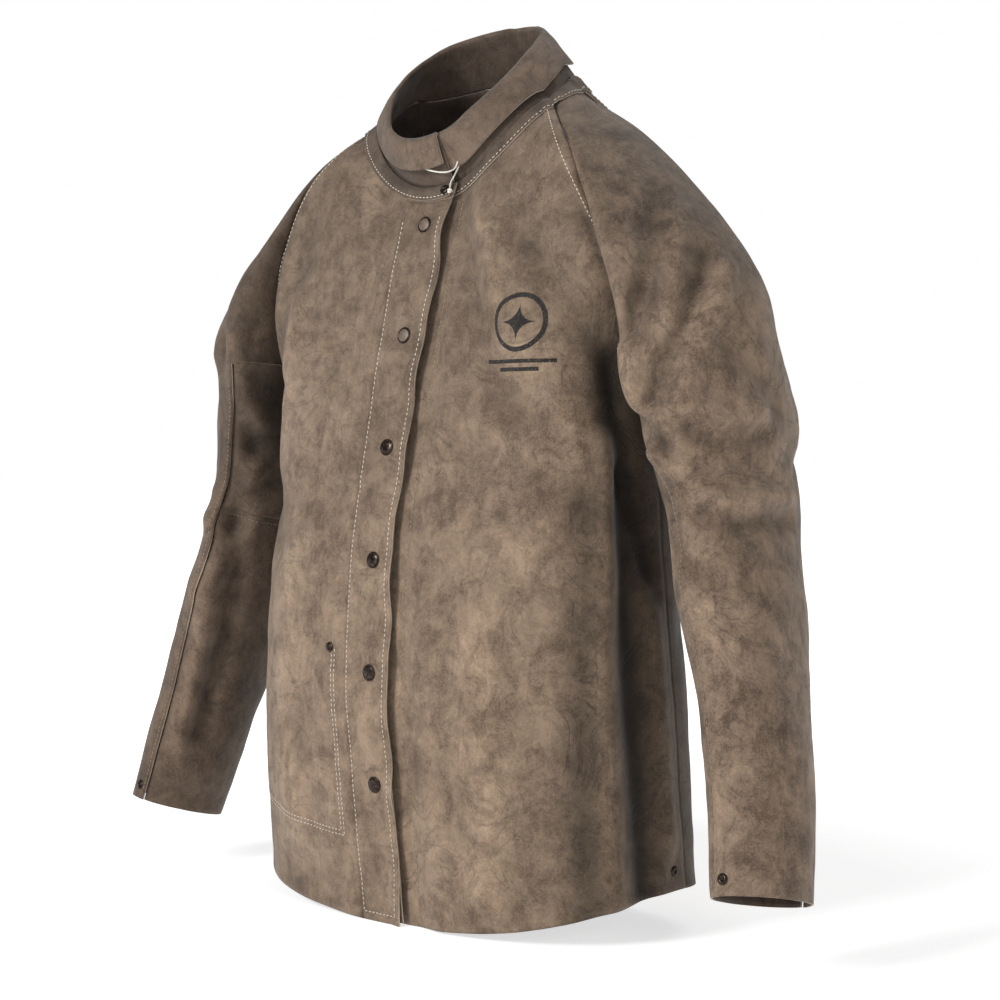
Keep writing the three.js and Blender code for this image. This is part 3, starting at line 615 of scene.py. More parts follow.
def noise_field(tree, place, scale, detail=2.0, roughness=0.5, distortion=0.0):
    settings = {"Scale": scale, "Detail": detail, "Roughness": roughness, "Distortion": distortion}
    return node(tree, "ShaderNodeTexNoise", {"Vector": place, **settings}).outputs[0]


def blended(tree, factor, a, b, kind="MIX"):
    made = node(tree, "ShaderNodeMix", {"Factor": factor}, data_type="RGBA", blend_type=kind)
    for socket, value in ((made.inputs[6], a), (made.inputs[7], b)):
        if isinstance(value, bpy.types.NodeSocket):
            tree.links.new(value, socket)
        else:
            socket.default_value = value
    return made.outputs[2]


def ramp(tree, factor, low, high):
    made = node(tree, "ShaderNodeMapRange", {"Value": factor, "From Min": low, "From Max": high})
    return made.outputs["Result"]


def suede_group():
    """Napped split leather: mottled colour, brushed streaks, fibre grain, and a height for the bump."""
    colour = "NodeSocketColor"
    group, inside, outside = new_group(
        "suede_nap",
        [("Dark", colour, (0, 0, 0, 1)), ("Light", colour, (1, 1, 1, 1)),
         ("Offset", "NodeSocketVector", (0, 0, 0)), ("Contrast", "NodeSocketFloat", 1.0)],
        [("Color", colour), ("Height", "NodeSocketFloat"), ("Roughness", "NodeSocketFloat")],
    )

    def part(field, share):
        return math_node(group, "MULTIPLY", field, share)

    def more(total, field, share, operation="ADD"):
        return math_node(group, operation, total, part(field, share))

    place = node(group, "ShaderNodeTexCoord").outputs["Object"]
    place = vector_node(group, "ADD", {0: place, 1: inside.outputs["Offset"]})
    cloud = noise_field(group, place, 12, 7, 0.68, 0.35)
    blotch = noise_field(group, place, 44, 6, 0.7, 0.5)
    brushing = {"Rotation": (0.5, 0.5, 0.8), "Scale": (1, 1, 0.4)}
    stretch = node(group, "ShaderNodeMapping", {"Vector": place, **brushing})
    streak = noise_field(group, stretch.outputs[0], 90, 5, 0.65, 0.8)
    fibre = noise_field(group, place, 520, 4, 0.7, 0.3)
    speck = noise_field(group, place, 1300, 2, 0.6)
    vein = noise_field(group, place, 17, 7, 0.6, 1.6)
    from_vein = math_node(group, "ABSOLUTE", math_node(group, "SUBTRACT", vein, 0.5))
    crease = math_node(group, "SUBTRACT", 1.0, ramp(group, from_vein, 0.0, 0.035))
    crease = math_node(group, "MULTIPLY", crease, ramp(group, cloud, 0.42, 0.6))
    tone = part(ramp(group, cloud, 0.38, 0.62), 0.34)
    tone = more(tone, ramp(group, blotch, 0.4, 0.6), 0.28)
    tone = more(tone, ramp(group, streak, 0.4, 0.6), 0.12)
    tone = more(tone, crease, 0.22, "SUBTRACT")
    tone = more(tone, ramp(group, fibre, 0.36, 0.64), 0.26)
    centred = math_node(group, "SUBTRACT", tone, 0.5)
    tone = math_node(group, "MULTIPLY_ADD", centred, inside.outputs["Contrast"], 0.5)
    base = blended(group, tone, inside.outputs["Dark"], inside.outputs["Light"])
    dust = ramp(group, speck, 0.58, 0.72)
    base = blended(group, math_node(group, "MULTIPLY", dust, 0.1), base, inside.outputs["Light"])
    height = part(fibre, 0.55)
    height = more(height, crease, 0.9, "SUBTRACT")
    height = more(height, streak, 0.7)
    height = more(height, blotch, 1.3)
    height = more(height, speck, 0.2)
    group.links.new(base, outside.inputs["Color"])
    group.links.new(height, outside.inputs["Height"])
    group.links.new(ramp(group, fibre, -0.6, 1.1), outside.inputs["Roughness"])
    return group


# The badge's own sizes, in metres.
RING_RADIUS = 0.0235
RING_HALF_WIDTH = 0.0021
SPARK_SPREAD = 0.134
BAR_HALF_HEIGHT = 0.0017
BARS = ((0.0335, 0.034), (0.0405, 0.021))  # how far under the ring's middle, and half the length


def mark_group():
    """A printed badge: a ring with a four-pointed spark inside and two short bars under it."""
    group, inside, outside = new_group("printed_badge", [("Middle", "NodeSocketVector", (0, 0, 0))],
                                       [("Mask", "NodeSocketFloat")])
    place = node(group, "ShaderNodeTexCoord").outputs["Object"]
    away = vector_node(group, "SUBTRACT", {0: place, 1: inside.outputs["Middle"]})
    parts = node(group, "ShaderNodeSeparateXYZ", {"Vector": away})
    x = math_node(group, "ABSOLUTE", parts.outputs["X"])
    z = parts.outputs["Z"]
    height = math_node(group, "ABSOLUTE", z)
    squares = [math_node(group, "MULTIPLY", side, side) for side in (x, z)]
    reach = math_node(group, "SQRT", math_node(group, "ADD", *squares))
    from_ring = math_node(group, "ABSOLUTE", math_node(group, "SUBTRACT", reach, RING_RADIUS))
    ring = math_node(group, "LESS_THAN", from_ring, RING_HALF_WIDTH)
    spread = math_node(group, "ADD", math_node(group, "SQRT", x), math_node(group, "SQRT", height))
    spark = math_node(group, "LESS_THAN", spread, SPARK_SPREAD)
    mask = math_node(group, "MAXIMUM", ring, spark)
    for drop, half in BARS:
        from_bar = math_node(group, "ABSOLUTE", math_node(group, "ADD", z, drop))
        near = math_node(group, "LESS_THAN", from_bar, BAR_HALF_HEIGHT)
        bar = math_node(group, "MULTIPLY", near, math_node(group, "LESS_THAN", x, half))
        mask = math_node(group, "MAXIMUM", mask, bar)
    worn = noise_field(group, place, 900, 3)
    mask = math_node(group, "MULTIPLY", mask, ramp(group, worn, 0.28, 0.4))
    group.links.new(mask, outside.inputs["Mask"])
    return group


SUEDE = suede_group()
BADGE = mark_group()


def new_material(name, colour, roughness, metallic=0.0):
    material = bpy.data.materials.new(name)
    material.use_nodes = True
    shader = material.node_tree.nodes["Principled BSDF"]
    shader.inputs["Base Color"].default_value = (*colour, 1)
    shader.inputs["Roughness"].default_value = roughness
    shader.inputs["Metallic"].default_value = metallic
    return material, material.node_tree, shader


# Painted shade and light on each piece, stored on its vertices: fold valleys, sides, seam lines and the
# upper body darker as painted shade, fold ridges paler as painted light and wear. 0.5 leaves the hide as it
# is.
TONE = "leather_tone"
PLAIN_TONE = 0.5


def suede(name, dark, light, offset=(0, 0, 0), contrast=1.4, badge=None):
    material, tree, shader = new_material(name, light, 0.95)
    shader.inputs["Specular IOR Level"].default_value = 0.18
    shader.inputs["Sheen Weight"].default_value = 0.12
    shader.inputs["Sheen Roughness"].default_value = 0.5
    nap = node(tree, "ShaderNodeGroup", node_tree=SUEDE)
    nap.inputs["Dark"].default_value = (*dark, 1)
    nap.inputs["Light"].default_value = (*light, 1)
    nap.inputs["Offset"].default_value = offset
    nap.inputs["Contrast"].default_value = contrast
    # The painted shade and light on the vertices, with some wear on fold ridges, scales the hide's colour.
    shade_paint = node(tree, "ShaderNodeAttribute", attribute_name=TONE)
    strength = math_node(tree, "MULTIPLY", shade_paint.outputs["Fac"], 2.0)
    colour = vector_node(tree, "SCALE", {0: nap.outputs["Color"], "Scale": strength})
    if badge is not None:
        print_mask = node(tree, "ShaderNodeGroup", node_tree=BADGE)
        print_mask.inputs["Middle"].default_value = badge
        colour = blended(tree, print_mask.outputs["Mask"], colour, (0.012, 0.010, 0.009, 1))
    tree.links.new(colour, shader.inputs["Base Color"])
    tree.links.new(nap.outputs["Roughness"], shader.inputs["Roughness"])
    depth = {"Strength": 0.55, "Distance": 0.0011}
    bump = node(tree, "ShaderNodeBump", {"Height": nap.outputs["Height"], **depth})
    tree.links.new(bump.outputs[0], shader.inputs["Normal"])
    return material


def metal(name, colour, roughness, spots, metallic=0.9):
    """Plated metal with faint rubbing."""
    material, tree, shader = new_material(name, colour, roughness, metallic)
    place = node(tree, "ShaderNodeTexCoord").outputs["Object"]
    rub = noise_field(tree, place, 420, 5)
    worn = ramp(tree, rub, 0.5, 0.75)
    tree.links.new(blended(tree, worn, (*colour, 1), (*spots, 1)), shader.inputs["Base Color"])
    least, most = roughness - 0.08, roughness + 0.14
    level = node(tree, "ShaderNodeMapRange", {"Value": rub, "To Min": least, "To Max": most})
    tree.links.new(level.outputs["Result"], shader.inputs["Roughness"])
    bump = node(tree, "ShaderNodeBump", {"Height": rub, "Strength": 0.15, "Distance": 0.0003})
    tree.links.new(bump.outputs[0], shader.inputs["Normal"])
    return material


def thread(name, colour):
    """Twisted thread: fine diagonal plies in its bump, with painted shade between them in its colour."""
    material, tree, shader = new_material(name, colour, 0.85)
    place = node(tree, "ShaderNodeTexCoord").outputs["Object"]
    plies = node(tree, "ShaderNodeTexWave", {"Vector": place, "Scale": 900, "Distortion": 3, "Detail": 2})
    shade = tuple(part * 0.62 for part in colour)
    tree.links.new(blended(tree, plies.outputs[1], (*shade, 1), (*colour, 1)), shader.inputs["Base Color"])
    bump = node(tree, "ShaderNodeBump", {"Height": plies.outputs[1], "Strength": 0.4, "Distance": 0.0002})
    tree.links.new(bump.outputs[0], shader.inputs["Normal"])
    return material


BADGE_MIDDLE = (0.136, -0.08, 0.533)
FRONT_DARK, FRONT_LIGHT = (0.088, 0.058, 0.038), (0.288, 0.207, 0.142)
# The right sleeve's colours are darker than the left's, partly as a darker hide and partly as painted shade
# on that side.
SLEEVE_DARK, SLEEVE_LIGHT = (0.052, 0.034, 0.023), (0.160, 0.112, 0.078)
front_right_suede = suede("suede_right_front", FRONT_DARK, FRONT_LIGHT)
front_left_suede = suede("suede_left_front", FRONT_DARK, FRONT_LIGHT, (0.31, 0.12, 0.4), badge=BADGE_MIDDLE)
back_suede = suede("suede_back", (0.10, 0.068, 0.047), (0.29, 0.21, 0.15), (0.7, 0.2, 0.1))
left_sleeve_suede = suede("suede_left_sleeve", (0.074, 0.049, 0.033), (0.290, 0.206, 0.142), (1.3, 0.5, 0.2))
right_sleeve_suede = suede("suede_right_sleeve", SLEEVE_DARK, SLEEVE_LIGHT, (2.2, 0.9, 0.6), 1.4)
collar_suede = suede("suede_collar", (0.068, 0.046, 0.032), (0.172, 0.122, 0.087), (3.1, 0.2, 0.8))
# The inner face's colours are darker partly for the hide's inner side and partly as painted shade inside the
# jacket.
inner_suede = suede("suede_inner_face", (0.035, 0.023, 0.017), (0.105, 0.071, 0.051), (4.2, 0.4, 0.3))
facing_suede = suede("suede_facing", (0.050, 0.035, 0.026), (0.15, 0.105, 0.076), (5.2, 0.1, 0.9))
raw_edge = suede("suede_cut_edge", (0.27, 0.20, 0.145), (0.56, 0.46, 0.36), (0.2, 0.2, 0.2), 0.8)
black_metal = metal("blackened_metal_plate", (0.022, 0.017, 0.014), 0.27, (0.10, 0.065, 0.045))
brown_cap = metal("brown_enamel_cap", (0.105, 0.072, 0.052), 0.45, (0.17, 0.125, 0.09), 0.2)
spring_steel = metal("nickel_spring_steel", (0.48, 0.46, 0.43), 0.3, (0.62, 0.6, 0.57))
pale_thread = thread("pale_sewing_thread", (0.72, 0.66, 0.56))
tan_thread = thread("tan_sewing_thread", (0.34, 0.265, 0.19))
cotton = thread("cotton_twine", (0.80, 0.77, 0.70))


# ---------- making pieces ----------
def to_frame(points):
    return (points + SHIFT) * METRES


def link(name, mesh):
    made = bpy.data.objects.new(name, mesh)
    bpy.context.scene.collection.objects.link(made)
    return made


def object_from(bm, name, materials, smooth=True):
    mesh = bpy.data.meshes.new(name)
    for face in bm.faces:
        face.smooth = smooth
    bm.to_mesh(mesh)
    bm.free()
    for material in materials:
        mesh.materials.append(material)
    if TONE not in mesh.attributes:
        paint_tone(mesh, np.full(len(mesh.vertices), PLAIN_TONE))
    return link(name, mesh)


def grid_normals(p):
    du = np.gradient(p, axis=1)
    dv = np.gradient(p, axis=0)
    return unit(np.cross(du, dv))


def paint_tone(mesh, tone):
    """Paints each vertex's tone on a finished mesh."""
    layer = mesh.attributes.new(TONE, "FLOAT", "POINT")
    layer.data.foreach_set("value", np.clip(tone, 0, 1).astype(np.float32))


# Painted shade lines beside the lapped raglan and sleeve seams and along the neck seam: how dark, how wide,
# and the places each passes.
SHADE_LINES = [
    (0.2, 3.5, [(101, -15, 728), (140, -34, 683), (180, -50, 624), (212, -52, 560)]),
    (0.2, 3.5, [(-101, -15, 728), (-140, -34, 683), (-180, -50, 624), (-212, -52, 560)]),
    (0.14, 4, [(270, -62, 440), (284, -58, 360), (300, -60, 300), (318, -66, 251), (335, -70, 178),
               (345, -74, 110)]),
    (0.14, 4, [(-270, -62, 440), (-284, -58, 360), (-300, -60, 300), (-318, -66, 251), (-335, -70, 178)]),
    (0.24, 4, neck_seam(np.linspace(0, 360, 49))),
]
FOLD_SHADE = 0.022  # for each millimetre of height, up to the next value
FOLD_LIMIT = 7
SIDE_SHADE = 0.3
TOP_SHADE_SHARE = 0.68  # painted shade: the tone near the neck, as a share of that near the hem


def leather_tone(p, off):
    """Valleys of folds are darker as painted shade, ridges paler as painted light and wear. The sides under
    the arms, the lines beside seams and the upper body towards the neck are darker, as painted shade.
    """
    tone = PLAIN_TONE + FOLD_SHADE * np.clip(off, -FOLD_LIMIT, FOLD_LIMIT)
    # Painted shade on the torso's sides under the arms, where the sleeves shade them.
    out = np.abs(p[..., 0])
    side = ease((out - 168) / 30) * ease((250 - out) / 25) * ease((540 - p[..., 2]) / 60)
    tone -= SIDE_SHADE * side
    for dark, width, route in SHADE_LINES:
        tone -= dark * np.exp(-((distance_to(p, route) / width) ** 2))
    # Painted shade: darker towards the neck.
    return tone * mix(1.0, TOP_SHADE_SHARE, ease((p[..., 2] - 180) / 450))


def leather(name, face, columns, rows, turn, materials, thickness=HIDE, depth=0.0, strength=1.0, keep=None,
            lap=None, soften=None, stands_for=(), body=None, blend=None):
    """A cut of leather: a grid laid on face(u, v), given its relief, then its thickness.

    turn is -1 where the face's own direction points inwards. depth sets the leather under the pattern
    shape, as a number or a function of (u, v). lap lifts or sinks it along seams. soften blurs rows where
    two shapes join.
    """
    bm = bmesh.new()
    bmesh.ops.create_grid(bm, x_segments=columns, y_segments=rows, size=0.5)
    bm.verts.ensure_lookup_table()
    uv = np.array([(v.co.x + 0.5, v.co.y + 0.5) for v in bm.verts]).round(6)
    order = np.lexsort((uv[:, 0], uv[:, 1]))
    shape = (len(np.unique(uv[:, 1])), len(np.unique(uv[:, 0])))
    u, v = uv[order, 0].reshape(shape), uv[order, 1].reshape(shape)
    p = face(u, v)
    if soften is not None:
        p = soften(p, u, v)
    normals = grid_normals(p) * turn
    off = relief(p, strength) - (depth(u, v) if callable(depth) else depth)
    if lap is not None:
        off = off + lap(p, u, v)
    placed = to_frame(p + normals * off[..., None]).reshape(-1, 3)
    tone = np.empty(len(order))
    tone[order] = leather_tone(p, off + (depth(u, v) if callable(depth) else depth)).ravel()
    shades = bm.verts.layers.float.new(TONE)
    bm.verts.ensure_lookup_table()
    for index, place in zip(order, placed):
        bm.verts[index].co = place
        bm.verts[index][shades] = float(np.clip(tone[index], 0, 1))
    if keep is not None:
        kept = {}
        for bm_face in bm.faces:
            middle = uv[[vert.index for vert in bm_face.verts]].mean(0)
            kept[bm_face] = keep(*middle)
        bmesh.ops.delete(bm, geom=[f for f, stays in kept.items() if not stays], context="FACES")
    if turn < 0:
        bmesh.ops.reverse_faces(bm, faces=bm.faces[:])
    made = object_from(bm, name, materials)
    wall = made.modifiers.new("leather_thickness", "SOLIDIFY")
    wall.thickness = thickness * METRES
    wall.offset = -1
    wall.use_rim = True
    wall.material_offset = 2
    wall.material_offset_rim = 1
    if stands_for:
        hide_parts(*stands_for)
    settle(made, body, blend)
    return made


def settle(made, body, blend):
    if blend is not None:
        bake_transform(made)
    else:
        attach(made, body)


def sleeve_blend(side):
    start, end = (side * 0.262, 0.0, 0.530), (side * 0.318, -0.018, 0.330)
    return ("torso", "left_sleeve" if side > 0 else "right_sleeve", start, end)


PLACKET_BLEND = ("torso", "placket", (-0.030, -0.11, 0.3), (-0.0155, -0.11, 0.3))


# ---------- stitches ----------
STITCH = 3.0
STITCH_GAP = 1.5


def resampled(points, step):
    """The same line with its points a step apart."""
    run = np.concatenate([[0], np.cumsum(np.linalg.norm(np.diff(points, axis=0), axis=1))])
    at = np.arange(step / 2, run[-1], step)
    return np.stack([np.interp(at, run, points[:, k]) for k in range(3)], axis=-1)


def stitches(name, lines, material, body=None, blend=None, radius=0.5, lift=0.25):
    """A row of thread stitches along lines of (points, outward directions)."""
    bm = bmesh.new()
    for points, outward in lines:
        places = resampled(points, STITCH + STITCH_GAP)
        ups = unit(resampled_like(points, outward, places))
        runs = unit(np.gradient(places, axis=0))
        for place, up, run in zip(places, ups, runs):
            side = np.cross(up, run)
            turn = Matrix(np.column_stack([run, side, up]).tolist()).to_4x4()
            spot_at = Matrix.Translation(Vector(to_frame(place + up * lift)))
            size = Matrix.Diagonal((STITCH / 2 * METRES, radius * METRES, radius * 0.75 * METRES, 1))
            bmesh.ops.create_uvsphere(bm, u_segments=6, v_segments=4, radius=1,
                                      matrix=spot_at @ turn @ size @ Matrix.Rotation(math.pi / 2, 4, "Y"))
    bmesh.ops.recalc_face_normals(bm, faces=bm.faces[:])
    made = object_from(bm, name, [material])
    settle(made, body, blend)
    return made


def resampled_like(points, values, places):
    run = np.concatenate([[0], np.cumsum(np.linalg.norm(np.diff(points, axis=0), axis=1))])
    at = (np.arange(len(places)) + 0.5) * (STITCH + STITCH_GAP)
    return np.stack([np.interp(at, run, values[:, k]) for k in range(3)], axis=-1)


def seam_line(face, us, vs, turn, depth=0.0, lap=None, strength=1.0):
    """A line on the finished outer face of a piece, with its outward directions."""
    us, vs = np.broadcast_arrays(np.asarray(us, float), np.asarray(vs, float))
    d = 2e-3
    p = face(us, vs)
    du = face(np.clip(us + d, 0, 1), vs) - face(np.clip(us - d, 0, 1), vs)
    dv = face(us, np.clip(vs + d, 0, 1)) - face(us, np.clip(vs - d, 0, 1))
    normal = unit(np.cross(du, dv)) * turn
    off = relief(p, strength) - (depth(us, vs) if callable(depth) else depth)
    if lap is not None:
        off = off + lap(p, us, vs)
    return p + normal * off[..., None], normal


def along(count=240, start=0.0, end=1.0):
    return np.linspace(start, end, count)


# ---------- laps at the seams ----------
def near_line(p, line):
    folded = p * np.where(p[..., :1] < 0, [-1, 1, 1], [1, 1, 1])
    return distance_to(folded, line)


FRONT_SEAM_LINE = raglan(np.linspace(0, 1, 24), True)
BACK_SEAM_LINE = raglan(np.linspace(0, 1, 24), False)
LAP_RISE = 1.5
LAP_WIDTH = 9


def body_lap(p, u, v):
    """The body panels lie over the sleeves' seam allowance, so they stand up along the raglan seams."""
    gap = np.minimum(near_line(p, FRONT_SEAM_LINE), near_line(p, BACK_SEAM_LINE))
    return LAP_RISE * (1 - ease((gap - LAP_WIDTH + 2) / 5))


def sleeve_lap(p, u, v):
    """The sleeve dips under the body panels along the raglan seams, and rises over the under panels."""
    gap = np.minimum(near_line(p, FRONT_SEAM_LINE), near_line(p, BACK_SEAM_LINE))
    dip = -1.6 * (1 - ease(gap / 9)) * (v < SHOULDER_PART)
    low = v > SHOULDER_PART
    edge = np.minimum(np.abs(u - 0.25), np.abs(u - 0.75))
    return dip + np.where(low, 1.3 * (1 - ease((edge - 0.02) / 0.02)), 0)


def under_lap(p, u, v):
    edge = np.minimum(u, 1 - u)
    return -1.5 * (1 - ease(edge / 0.06))


def blur_join(p, u, v):
    """Rounds the rows where the shoulder runs on into the sleeve."""
    weight = np.exp(-(((v[:, 0] - SHOULDER_PART) / 0.06) ** 2))[:, None, None]
    for _ in range(40):
        p[1:-1] += 0.5 * weight[1:-1] * ((p[2:] + p[:-2]) / 2 - p[1:-1])
    return p


# ---------- fronts ----------
def ripple(p, u, v):
    """The placket's free edge ripples in and out."""
    row = p[..., 2] / FRONT_LENGTH
    wave = 1.6 * np.sin(row * 41 + 0.6) + 1.2 * np.sin(row * 67 + 2.1)
    return wave * ease((u - 0.72) / 0.28)


right_materials = [front_right_suede, raw_edge, inner_suede]
left_materials = [front_left_suede, raw_edge, inner_suede]
head_row = 1 - HEAD_DEPTH / FRONT_LENGTH
placket_visual = front_stretch(-1, PLACKET_ROOT, placket_inner, (0, head_row - SEAM / FRONT_LENGTH))
head_visual = front_stretch(-1, PLACKET_ROOT, placket_inner, (head_row, 1))
LEFT_SHARE = 0.74
left_front = two_stretches(left_outer, left_inner, LEFT_SHARE)

leather("right_front_hide", right_front, 66, 190, 1, right_materials, lap=body_lap,
        stands_for=("right_front_panel",), body="torso")
leather("placket_band", placket_visual, 22, 230, 1, right_materials, lap=ripple,
        stands_for=("placket",), blend=PLACKET_BLEND)
leather("placket_top_end", head_visual, 22, 8, 1, right_materials, lap=ripple,
        stands_for=("placket_head",), body="torso")
leather("left_front_hide", left_front, 86, 190, -1, left_materials, lap=body_lap,
        stands_for=("left_front_panel",), body="torso")
facing_materials = [facing_suede, raw_edge, facing_suede]
placket_rows = (0.004, head_row - SEAM / FRONT_LENGTH)
placket_back = front_stretch(-1, PLACKET_ROOT + 6, -PLACKET_EDGE + 5, placket_rows)
leather("placket_facing_strip", placket_back, 14, 150, 1, facing_materials, LINING, HIDE + PLY,
        stands_for=("placket_facing",), blend=PLACKET_BLEND)
left_back = front_stretch(1, LEFT_FACING_EDGE, -UNDERLAP + 1, (0.003, 0.997), True)
leather("left_facing_strip", left_back, 14, 150, -1, facing_materials, LINING, HIDE + PLY,
        stands_for=("left_front_facing",), body="torso")
pocket_rows = (POCKET_BOTTOM / FRONT_LENGTH, (POCKET_BOTTOM + POCKET_DEPTH) / FRONT_LENGTH)
pocket_face = front_stretch(-1, POCKET_FRONT + POCKET_WIDTH, POCKET_FRONT, pocket_rows)
leather("pocket_pouch", pocket_face, 40, 48, 1, facing_materials, LINING, HIDE + 1.2,
        stands_for=("pocket_bag",), body="torso")
leather("back_hide", back_panel, 130, 190, 1, [back_suede, raw_edge, inner_suede], lap=body_lap,
        stands_for=("back_panel",), body="torso")

# ---------- sleeves ----------
for side in (1, -1):
    hand = "left" if side > 0 else "right"
    colour = left_sleeve_suede if side > 0 else right_sleeve_suede
    cuts = [colour, raw_edge, inner_suede]
    shaped = (lambda face: face) if side > 0 else mirrored
    leather(f"{hand}_raglan_sleeve", shaped(sleeve_skin), 96, 190, -side, cuts, lap=sleeve_lap,
            soften=blur_join, keep=lambda u, v: v < SHOULDER_PART or 0.25 < u < 0.75,
            stands_for=(f"{hand}_shoulder", f"{hand}_sleeve_outer"), blend=sleeve_blend(side))
    gusset = shaped(under_skin((0.0, ELBOW_SHARE)))
    forearm = shaped(under_skin((ELBOW_SHARE, 1.0)))
    leather(f"{hand}_underarm_gusset", gusset, 40, 44, -side, cuts, lap=under_lap,
            stands_for=(f"{hand}_underarm_panel",), blend=sleeve_blend(side))
    leather(f"{hand}_forearm_under_panel", forearm, 40, 84, -side, cuts, lap=under_lap,
            stands_for=(f"{hand}_forearm_panel",), blend=sleeve_blend(side))

# ---------- collar ----------
TURN = 0.5  # share of the collar piece below its fold


def collar_height(u, v):
    lowest = FALL_FROM + FRONT_SHORTER * ease((u - 0.8) / 0.15) + LEFT_SHORTER * (1 - ease(u / 0.1))
    return np.where(v < TURN, v / TURN, mix(1, lowest, (v - TURN) / (1 - TURN)))


def collar_piece():
    """One band of hide: up from the neck seam, over its fold, and down again on the outside."""
    bm = bmesh.new()
    bmesh.ops.create_grid(bm, x_segments=NECK_COLUMNS * 5, y_segments=44, size=0.5)
    bm.verts.ensure_lookup_table()
    uv = np.array([(v.co.x + 0.5, v.co.y + 0.5) for v in bm.verts]).round(6)
    u, v = uv[:, 0], uv[:, 1]
    d = 1e-3
    flat = collar_height(u, v)
    p = collar_face(u, flat)
    du = collar_face(np.clip(u + d, 0, 1), flat) - collar_face(np.clip(u - d, 0, 1), flat)
    dv = collar_face(u, np.ones_like(u)) - collar_face(u, np.zeros_like(u))
    normal = unit(np.cross(du, dv))
    wave = 1.3 * noise_at(p, 42, 6) + 0.5 * noise_at(p, 17, 7)
    wave *= ease(flat / 0.4)
    folded = ease((v - TURN + 0.015) / 0.05)
    off = wave + np.where(v > TURN - 0.015, (fall_out(u, flat) + HIDE) * folded, 0)
    placed = to_frame(p + normal * off[:, None])
    crown = 1.0 * np.exp(-(((v - TURN) / 0.02) ** 2)) * METRES
    placed[:, 2] += crown
    for vert, place in zip(bm.verts, placed):
        vert.co = place
    made = object_from(bm, "collar_band", [collar_suede, raw_edge, collar_suede])
    # Painted shade: the band below the fold, under the turned-down layer and inside the neck, is darker, and
    # the rest of the collar a little darker; its ripples add faint painted shade and light.
    inside = np.where(v < TURN - 0.02, 0.26, 0.43)
    made.data.attributes.remove(made.data.attributes[TONE])
    paint_tone(made.data, inside + 0.03 * wave)
    wall = made.modifiers.new("leather_thickness", "SOLIDIFY")
    wall.thickness = HIDE * METRES
    wall.offset = -1
    wall.material_offset = 2
    wall.material_offset_rim = 1
    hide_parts("collar_stand", "collar_fall")
    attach(made, "torso")


collar_piece()


def strip_face(u, v):
    return around_neck(u, mix(0.5, STRIP_WIDTH, v))


def strip_out(u, v):
    return -HIDE - mix(STRIP_PLY, 0.35, ease(v)) - 0 * u


leather("neck_binding_strip", strip_face, NECK_COLUMNS * 5, 8, -1, [collar_suede, raw_edge, collar_suede],
        depth=strip_out, lap=body_lap, stands_for=("neck_strip",), body="torso")


# ---------- hang tab ----------
def back_inside(x, down):
    row = 1 - down / back_height
    return back_face(row, np.degrees(np.arccos(x / panel_edge(row, False)[..., 0])))


def tab_face(u, v):
    x = mix(TAB_LENGTH / 2, -TAB_LENGTH / 2, u)
    past = np.maximum(np.abs(x) - (TAB_LENGTH - TAB_WIDTH) / 2, 0) / (TAB_WIDTH / 2)
    half = TAB_WIDTH / 2 * np.sqrt(np.maximum(1 - past * past, 0.04))
    return back_inside(x, TAB_DROP + mix(half, -half, v))


def tab_depth(u, v):
    bow = 3 * np.sin(np.pi * np.clip((u - 0.2) / 0.6, 0, 1)) ** 2
    return HIDE + PLY + bow


leather("hang_loop_strap", tab_face, 60, 12, 1, facing_materials, LINING, tab_depth, strength=0.0,
        stands_for=("hang_tab",), body="torso")

# ---------- stitch rows ----------
front_rows = along(400, 0.012, 0.975)


def placket_u(row, from_snaps):
    """The placket's own share across for a distance from the line of snaps."""
    first, last = front_angle(-1, row, PLACKET_ROOT), front_angle(-1, row, placket_inner(row))
    return (front_angle(-1, row, from_snaps) - first) / (last - first)


placket_rows = mix(0, head_row - SEAM / FRONT_LENGTH, front_rows)
inner_row = seam_line(placket_visual, np.full(400, 0.035), front_rows, 1, lap=ripple)
edge_row_u = placket_u(placket_rows, placket_inner(placket_rows) + 5.5)
edge_row = seam_line(placket_visual, edge_row_u, front_rows, 1, lap=ripple)
bottom_row = seam_line(placket_visual, along(60, 0.035, 0.9), 0.012, 1, lap=ripple)
stitches("placket_stitching", [inner_row, edge_row, bottom_row], pale_thread, blend=PLACKET_BLEND)

left_u = mix(LEFT_SHARE, 1, np.full(400, 0.02))
left_row = seam_line(left_front, left_u, along(400, 0.012, 0.97), -1, lap=body_lap)
left_bottom = seam_line(left_front, along(60, LEFT_SHARE, 0.97), 0.012, -1, lap=body_lap)
stitches("left_facing_stitching", [left_row, left_bottom], tan_thread, body="torso")


def pocket_u(row, from_snaps):
    first, last = seam_edge(row), front_angle(-1, row, PLACKET_ROOT)
    return (front_angle(-1, row, from_snaps) - first) / (last - first)


pocket_lines = []
for inset in (0, 4):
    rise = mix(pocket_rows[0] + inset / FRONT_LENGTH, pocket_rows[1] - 6 / FRONT_LENGTH, along(200))
    pocket_lines.append(seam_line(right_front, pocket_u(rise, POCKET_FRONT + inset), rise, 1, lap=body_lap))
    base = np.full(200, pocket_rows[0] + inset / FRONT_LENGTH)
    across = mix(POCKET_FRONT + inset, POCKET_FRONT + POCKET_WIDTH + 20, along(200))
    pocket_lines.append(seam_line(right_front, pocket_u(base, across), base, 1, lap=body_lap))
stitches("pocket_stitching", pocket_lines, pale_thread, body="torso")

SEAM_INSET = 7.0


def beside_seam(row, on_front, inset):
    """The angle of a line an inset in from a body panel's raglan edge."""
    d = 0.5
    face = (lambda a: front_face(1, row, a)) if on_front else (lambda a: back_face(row, a))
    run = np.linalg.norm(face(seam_edge(row) + d) - face(seam_edge(row)), axis=-1) / d
    return inset / np.maximum(run, 1e-3)


